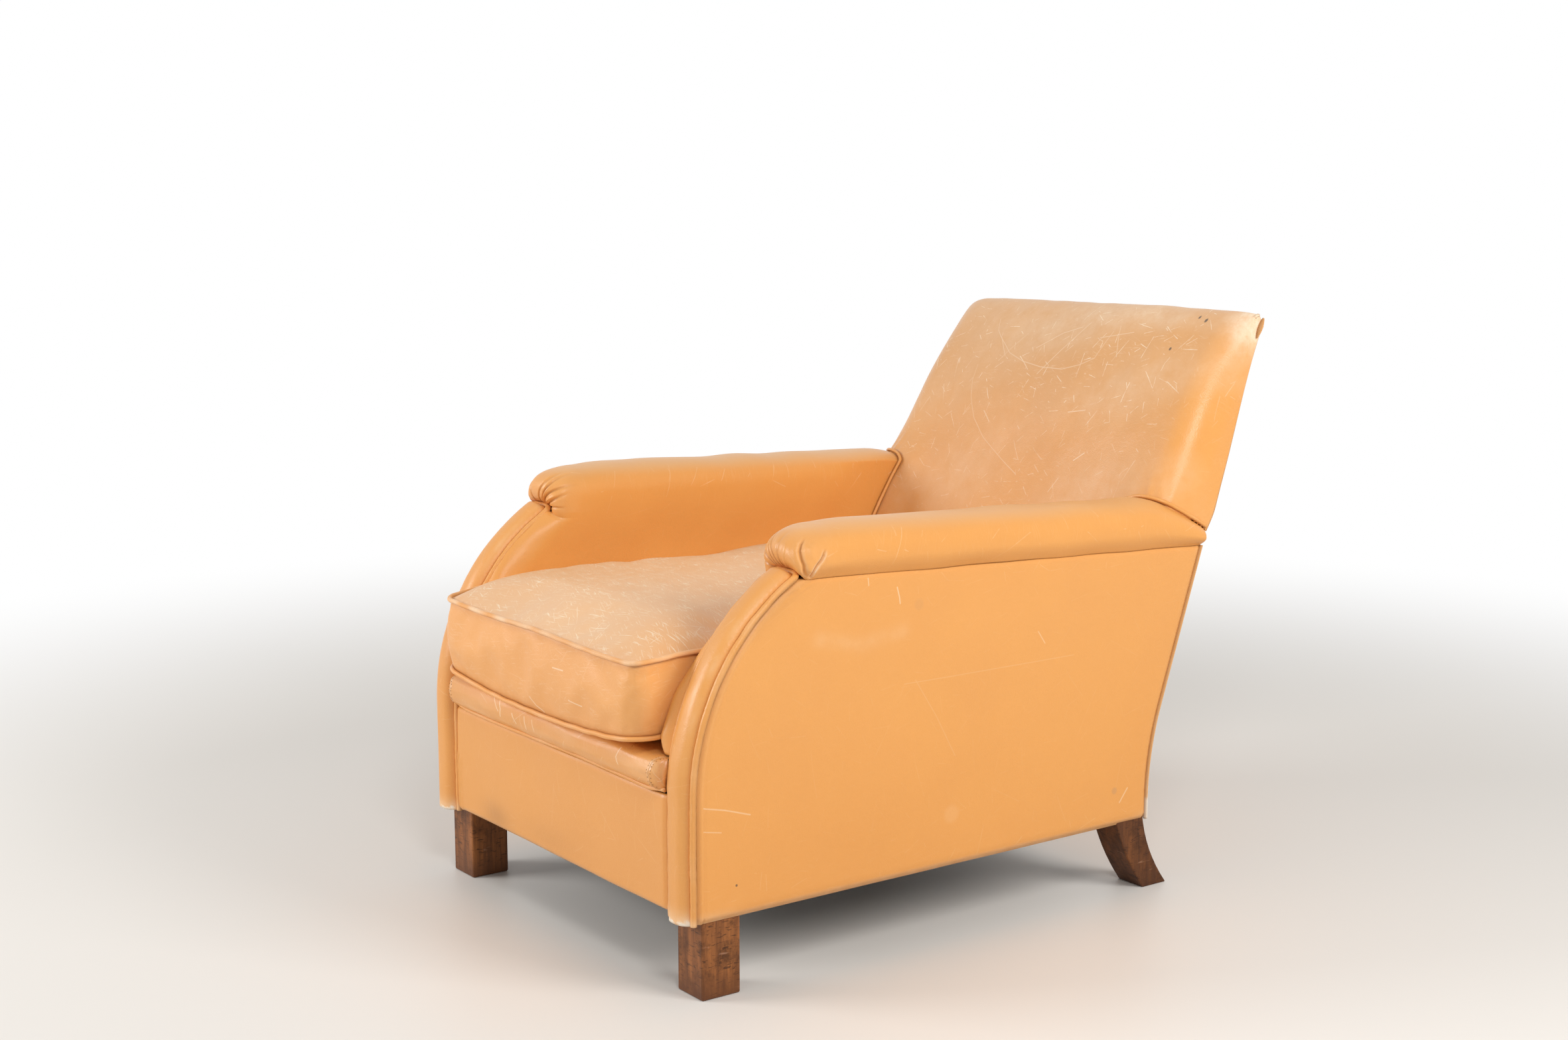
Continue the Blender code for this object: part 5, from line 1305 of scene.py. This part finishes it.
# The padded back's grid: the profile carried across, its edges rounded by a quarter
# circle, with a short wall to the rear leather on each side. Towards the crest the
# rounding fades, more at the near corner than at the far one, and the whole top leans
def backGrid():
    line, over = backProfile()
    tangent = unit(np.gradient(line, axis=0))
    normal = grid(-tangent[:, 1], tangent[:, 0])
    steep = np.maximum(chair["rakeSlope"] * normal[:, 1] - normal[:, 0], chair["rakeSlope"])
    behind = 0.85 * np.maximum(rearLine(line[:, 1]) + 0.0008 - line[:, 0], 0.0002) / steep
    last, bendAt = len(line) - back["fallRows"] - 1, back["frontRows"] - 1
    edge, half, wallColumns = back["edge"], back["half"], back["wallColumns"]
    flatPart = np.linspace(0, 1, 46) * (half - edge)
    turn = np.linspace(0, np.pi / 2, 26)[1:]
    across = join(flatPart, half - edge + edge * np.sin(turn), np.full(wallColumns, half))
    inset = join(flatPart * 0, edge * (1 - np.cos(turn)), np.full(wallColumns, edge))
    wall = join(flatPart * 0, turn * 0, np.linspace(0, 1, wallColumns + 1)[1:])
    fallShare = clamp((line[last:, :1] - line[last, 0]) / (line[-1, 0] - line[last, 0]))
    halves = []
    for sign, topWeight in ((-1, back["farTop"]), (1, back["nearTop"])):
        weight = (1 - (1 - topWeight) * ease(over, -0.1, 1.0))[:, None]
        inner = weight * (inset[None] + backCrown(line[:, 1:]) * np.minimum(across / half, 1)[None] ** 2)
        inner = np.minimum(inner, behind[:, None])
        y, z = line[:, :1] - normal[:, :1] * inner, line[:, 1:] - normal[:, 1:] * inner
        drop = inner[last]
        y[last:] = line[last:, :1] + fallShare * (rearEdge(line[-1, 1] - drop) - rearEdge(line[-1, 1]))
        z[last:] = line[last:, 1:] - drop
        startHeight, topHeight = z[bendAt, -1], z[last, -1]
        rise = clamp((z[:, -1:] - startHeight) / (topHeight - startHeight))
        rise[last:] = 1
        endHeight = np.where(over[:, None] > 0, startHeight + rise * (z[-1, -1] - startHeight), z[:, -1:])
        y = y + wall[None] * (rearEdge(endHeight) - y)
        z = z + wall[None] * (endHeight - z)
        x = sign * across[None] * (1 - back["taper"] * np.maximum(z - chair["sweepStart"], 0) / half)
        points = grid(x, y, z)
        halves.append(points[:, :0:-1] if sign < 0 else points)
    fading = join(np.ones((last, 1)), 1 - fallShare)
    return join(*halves, axis=1), join(wall[:0:-1], wall), fading


# The padded back: its grid with tugs over the arms, swollen sides and soft relief, and a
# hole on each side where an arm goes in
def insideBack():
    points, onWall, fading = backGrid()
    x, z = points[..., 0], points[..., 2]
    points = grid(x, points[..., 1], z + backLean(x, z))
    out = gridNormals(points)
    if out[20, points.shape[1] // 2, 1] > 0:
        out = -out
    wide, gap = np.abs(x), back["armGap"]
    above = z - armTop(points[..., 1]) - gap
    tugs = 0.0008 * np.sin(2 * np.pi * (wide + 0.3 * above) / back["tugPitch"])
    tugs = tugs * hump(above, 0.028) * hump(wide - 0.272, 0.030)
    fine = 0.0003 * waves(points, 0.05, 72) * (1 - ease(wide, 0.20, 0.27))
    relief = (0.0009 * waves(points, 0.22, 71) + fine + tugs) * (1 - onWall) + sideSwell(wide, z)
    points = points + out * (relief * fading)[..., None]
    newX, y, height = np.moveaxis(points, -1, 0)
    inArm = (np.abs(newX) > chair["armInner"] + gap) & (height < armTop(y) - gap)
    arch = clamp(1 - (np.abs(newX / chair["padCentre"]) - 1) ** 2 / 0.026)
    keep = ~(inArm & (height < seamHeight(y) + 0.052 * np.sqrt(arch)))
    nearEdge, topShare = wide / back["half"], ease(height, 0.66, 0.76)
    corner = np.linalg.norm(points - back["wornCorner"], axis=-1)
    rub = clamp(0.22 * topShare * (1 - ease(x, 0.05, 0.25)) + 0.08 + 0.10 * waves(points, 0.15, 73))
    rub = rub + 1.2 * hump(corner, 0.032) + 0.25 * hump(nearEdge - 0.97, 0.05) * topShare
    rub = rub + 0.35 * hump(x - 0.16, 0.10) * hump(height - 0.765, 0.016)
    dense = hump(x - 0.04, 0.17) * hump(height - 0.715, 0.060)
    fade = 0.42 + 0.40 * ease(height, 0.5, 0.74) - 0.6 * ease(nearEdge, 0.74, 0.97) * ease(x, -0.1, 0.1)
    obj = makeSheet("insideBack", points, (0, 0.9, 0.4), keep=keep, values={
        "rub": clamp(rub), "fade": np.clip(fade, 0.05, 1),
        "scuff": (0.55 + 1.5 * dense + 0.5 * ease(height, 0.6, 0.7)) * (1 - 0.75 * ease(x, 0.22, 0.28)),
    })
    dress(obj, backLeather, "seat_leather", "inside_back", fill=0.8)


# The rear leather: a sheet down the rear line, stretched a little proud of the frame
def outsideBack():
    bottom, top, seam = chair["coverBottom"], back["outerTop"], back["outerSeam"]
    z = join([bottom - 0.002], np.linspace(bottom, top, 100))[:, None]
    a = np.linspace(-1, 1, 92)[None]
    a = 1.25 * a - 0.25 * a ** 3
    x = a * np.where(z < seam, chair["half"] - 0.0065, backHalf(z, 0.0018))
    fromSide = 1 - np.abs(a)
    y = rearEdge(z) - 0.0006 + 0.0012 * np.sin(np.pi * clamp((z - bottom) / (top - bottom))) * (1 - a ** 4)
    y = y + 0.0005 * waves(grid(x, 0, z), 0.17, 81) * (1 - a ** 6)
    y = y - 0.0018 * hump(fromSide, 0.012) - 0.0025 * hump(z - bottom, 0.003) - 0.002 * hump(z - top, 0.004)
    shown = z - topDrop(x) * ease(z, 0.60, 0.75) * (z - seam) / (top - seam)
    points = grid(x, y + rearEdge(shown) - rearEdge(z), shown + backLean(x, z))
    obj = makeSheet("outsideBack", points, (0, 0.3, 0.4), 0.0024, {
        "rub": clamp(0.6 * hump(z - 0.1, 0.006) + 0.5 * hump(fromSide, 0.02) * ease(z, 0.6, 0.75)),
        "fade": 0.12 + 0.3 * ease(z, 0.5, 0.75), "scuff": 0.5 + 0.4 * ease(z, 0.5, 0.7),
    })
    dress(obj, bodyLeather, "tan_leather", "outside_back")


# A tuck of spare leather at a top corner: a short cord down the corner, thick at its
# middle and tapered to both ends
def cornerTuck(side, sign):
    z = np.linspace(0.7640, 0.738, 30) - topDrop(np.array(sign * 0.3))
    x = backHalf(z, -0.0012) * sign
    path = grid(x, rearEdge(z) - 0.0052, z + backLean(x, z))
    radius = 0.0008 + 0.0030 * np.sin(np.linspace(0.15, np.pi, 30)) ** 0.8
    values = {"rub": 0.25, "fade": 0.1, "scuff": 0.2}
    dress(makeCord(f"cornerTuck_{side}", path, (0.0, 1.0, 0.0), radius, values), bodyLeather, "tan_leather")


# The piping in a rear corner of the body, from the bottom edge up to the arm
def rearPiping(side, sign):
    z = np.linspace(chair["coverBottom"], 0.4700, 140)
    path = grid((chair["half"] - 0.003) * sign, rearLine(z) - 0.0008, z)
    rub = clamp(0.25 + 0.8 * hump(z - 0.11, 0.03))
    cord = makeCord(f"rearPiping_{side}", path, (0.0, 1.0, 0.0), chair["piping"], {"rub": rub})
    dress(cord, bodyLeather, "tan_leather", f"rear_piping_{side}")


# The piping where the back laps over an arm: up the arm's inner side, over its top and
# along its outer shoulder, found where the back's front meets the arm's section
def lapPiping(side, sign):
    rise = chair["piping"] + (0.0022 if sign > 0 else 0.0004)
    innerX, power = chair["armInner"] - rise, 0.82

    def onBack(x, z):
        drop = quarterDrop(np.clip(x - (back["half"] - back["edge"]), 0, back["edge"]))
        drop = drop + backCrown(z) * (x / back["half"]) ** 2
        return backFront(z) + (drop - sideSwell(x, z) - rise) * math.hypot(1, chair["backSlope"])

    z = np.linspace(0.414, seamHeight(chair["lapFront"]) - 0.012, 30)
    first = grid(innerX, onBack(innerX, z), z)
    turn = np.radians(np.linspace(180, 66, 60))
    up = np.abs(np.sin(turn)) ** power
    x = chair["padCentre"] + (chair["padHalf"] + rise) * signedPower(np.cos(turn), power)
    x = np.maximum(x, innerX)
    y = np.full(len(turn), chair["lapFront"])
    for _ in range(5):
        seam = seamHeight(y)
        z = seam + (armTop(y) - seam) * (0.35 + 0.65 * up) + rise * up
        y = onBack(x, z)
    second = grid(x, y, z)
    startX, startY = x[-1], y[-1]
    y = np.linspace(startY, 0.8285, 30)[1:]
    share = (y - startY) / (y[-1] - startY)
    x = startX + (back["half"] - startX) * np.minimum(1, 2.2 * share)
    across = clamp(np.abs(x - chair["padCentre"]) / chair["padHalf"]) ** (1 / power)
    seam = seamHeight(y)
    z = seam + (armTop(y) - seam) * (0.35 + 0.65 * np.sqrt(1 - across ** 2) ** power) + rise
    path = smoothLine(join(first, second, grid(x, y, z)), 220) * (sign, 1, 1)
    away = path - (chair["padCentre"] * sign, 0.9, 0.45)
    away[:, 1] = -0.02
    rub = clamp(0.05 + 0.12 * waves(path, 0.05, 91))
    radius = chair["piping"] * (1.0 if sign > 0 else 0.8)
    cord = makeCord(f"lapPiping_{side}", path, unit(away), radius, {"rub": rub})
    dress(cord, bodyLeather, "tan_leather", f"back_side_piping_{side}")


insideBack()
outsideBack()
for side, sign in sides.items():
    rearPiping(side, sign)
    lapPiping(side, sign)
cornerTuck("left", 1)
print("back made")

# Under the cushion and under the seat


# The deck that the cushion lies on: a slab with rounded edges, a little domed
def seatDeck():
    low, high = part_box("seat_deck")
    front, rear = low.y - rowY + 0.001, high.y - rowY
    middle, half = (low.z + high.z) / 2, (high.z - low.z) / 2
    turn = np.linspace(0, 2 * np.pi, 64, endpoint=False)
    y = (front + rear) / 2 + (rear - front) / 2 * signedPower(np.cos(turn), 0.22)
    z = signedPower(np.sin(turn), 0.22)
    share = np.sin(np.linspace(-np.pi / 2, np.pi / 2, 60))[:, None]
    shrink = 1 - 0.35 * np.abs(share) ** 24
    dome = 0.0015 * (1 - share ** 2) * (z > 0)
    rings = grid(share * (high.x - 0.0005), y, middle + half * (z * shrink - 0.03) + dome - 0.0004)
    obj = makeRings("seatDeck", rings, (0, 0.3, middle), {"rub": 0.05, "scuff": 0.3})
    dress(obj, bodyLeather, "tan_leather", "seat_deck", fill=0.6)


# A level cloth inside a node's box, sagging between its edges by a sine in each direction
def levelCloth(name, node, material, slot, sag, thickness):
    low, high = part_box(node)
    a, b = np.linspace(0, 1, 40)[None], np.linspace(0, 1, 50)[:, None]
    x = low.x + (high.x - low.x) * a
    y = low.y - rowY + (high.y - low.y) * b
    z = high.z - 0.0002 - sag * np.sin(np.pi * a) * np.sin(np.pi * b)
    points = grid(x, y, z + 0.0002 * waves(grid(x, y, 0), 0.05, 121))
    obj = makeSheet(name, points, (0, 0.3, high.z - 1.0), thickness)
    dress(obj, material, slot, node)


seatDeck()
levelCloth("springHessian", "spring_hessian", jute, "jute", 0.0, 0.0012)
levelCloth("dustCover", "dust_cover", blackCloth, "black_cloth", 0.0004, 0.0006)
print("deck and cloths made")

# Floor, lights and camera

# A light has its place, the point it faces, its two sides and its power
stage = {
    "floor": (0.800, 0.765, 0.715), "floorReach": 14.0, "clearFrom": 1.1, "clearTo": 2.6, "world": 0.43,
    "lights": {
        "key": ((-1.9, -3.3, 1.7), (0, -0.1, 0.35), (1.6, 1.2), 78),
        "side": ((3.0, 1.0, 2.15), (0, 0, 0.40), (1.5, 1.3), 66),
        "top": ((2.05, -1.20, 2.30), (0.1, 0, 0.5), (0.6, 0.6), 20),
    },
    "lens": 55.22, "cameraPlace": (2.6003, -1.5283 + rowY, 1.0800),
    "cameraTurn": (90 - 10.105, 0.028, 54.193),
}


# 1 for the camera's own rays and for mirrored and refracted ones, 0 for the others
def seenDirectly(paint):
    path = paint.node("LightPath").outputs
    first = paint.math("MAXIMUM", path["Is Camera Ray"], path["Is Glossy Ray"])
    return paint.math("MAXIMUM", first, path["Is Transmission Ray"])


# Floor: plain paint near the chair, turning to plain white further away for rays that
# show it; the other rays meet paint everywhere
def floorMaterial():
    material, paint = newMaterial("floorPaint")
    paint.shade("Base Color", stage["floor"])
    paint.shade("Roughness", 0.5)
    away = paint.fall(paint.vector("LENGTH", paint.place()), stage["clearFrom"], stage["clearTo"])
    share = paint.times(paint.math("SUBTRACT", 1.0, away), seenDirectly(paint))
    white = paint.node("Emission", {"Color": (1, 1, 1), "Strength": 1.0})
    plain = material.node_tree.nodes["Principled BSDF"]
    mix = paint.node("MixShader", {"Fac": share, 1: plain.outputs[0], 2: white.outputs[0]})
    paint.feed(mix.outputs[0], material.node_tree.nodes["Material Output"].inputs["Surface"])
    return material


# The floor, and a world that is white where it is seen and dimmer where it only lights
def makeStage():
    reach, scene = stage["floorReach"], bpy.context.scene
    mesh = bpy.data.meshes.new("floor")
    corners = [(-reach, -reach, 0), (reach, -reach, 0), (reach, reach, 0), (-reach, reach, 0)]
    mesh.from_pydata(corners, [], [(0, 1, 2, 3)])
    mesh.materials.append(floorMaterial())
    floor = bpy.data.objects.new("floor", mesh)
    scene.collection.objects.link(floor)
    scene.world = bpy.data.worlds.new("room")
    scene.world.use_nodes = True
    background = scene.world.node_tree.nodes["Background"].inputs
    background["Color"].default_value = (1, 1, 1, 1)
    paint = Paint(scene.world.node_tree)
    paint.feed(paint.plus(seenDirectly(paint), 1 - stage["world"], stage["world"]), background["Strength"])


# A rectangular light at a place, turned so that it faces a point
def areaLight(name, place, aim, size, power):
    light = bpy.data.lights.new(name, "AREA")
    light.shape = "RECTANGLE"
    light.size, light.size_y = size
    light.energy = power
    obj = bpy.data.objects.new(name, light)
    obj.location = place
    obj.rotation_euler = Vector(np.subtract(aim, place)).to_track_quat("-Z", "Y").to_euler()
    bpy.context.scene.collection.objects.link(obj)
    return obj


# The photograph's camera: its place, its turn and its lens
def makeCamera():
    data = bpy.data.cameras.new("camera")
    data.sensor_width = 36
    data.lens = stage["lens"]
    camera = bpy.data.objects.new("camera", data)
    camera.location = stage["cameraPlace"]
    camera.rotation_euler = [math.radians(angle) for angle in stage["cameraTurn"]]
    bpy.context.scene.collection.objects.link(camera)
    bpy.context.scene.camera = camera


makeStage()
for name, settings in stage["lights"].items():
    light = areaLight(name, *settings)
    light.visible_glossy = name != "side"
makeCamera()
bpy.context.scene.view_settings.view_transform = "Standard"
print("stage made")
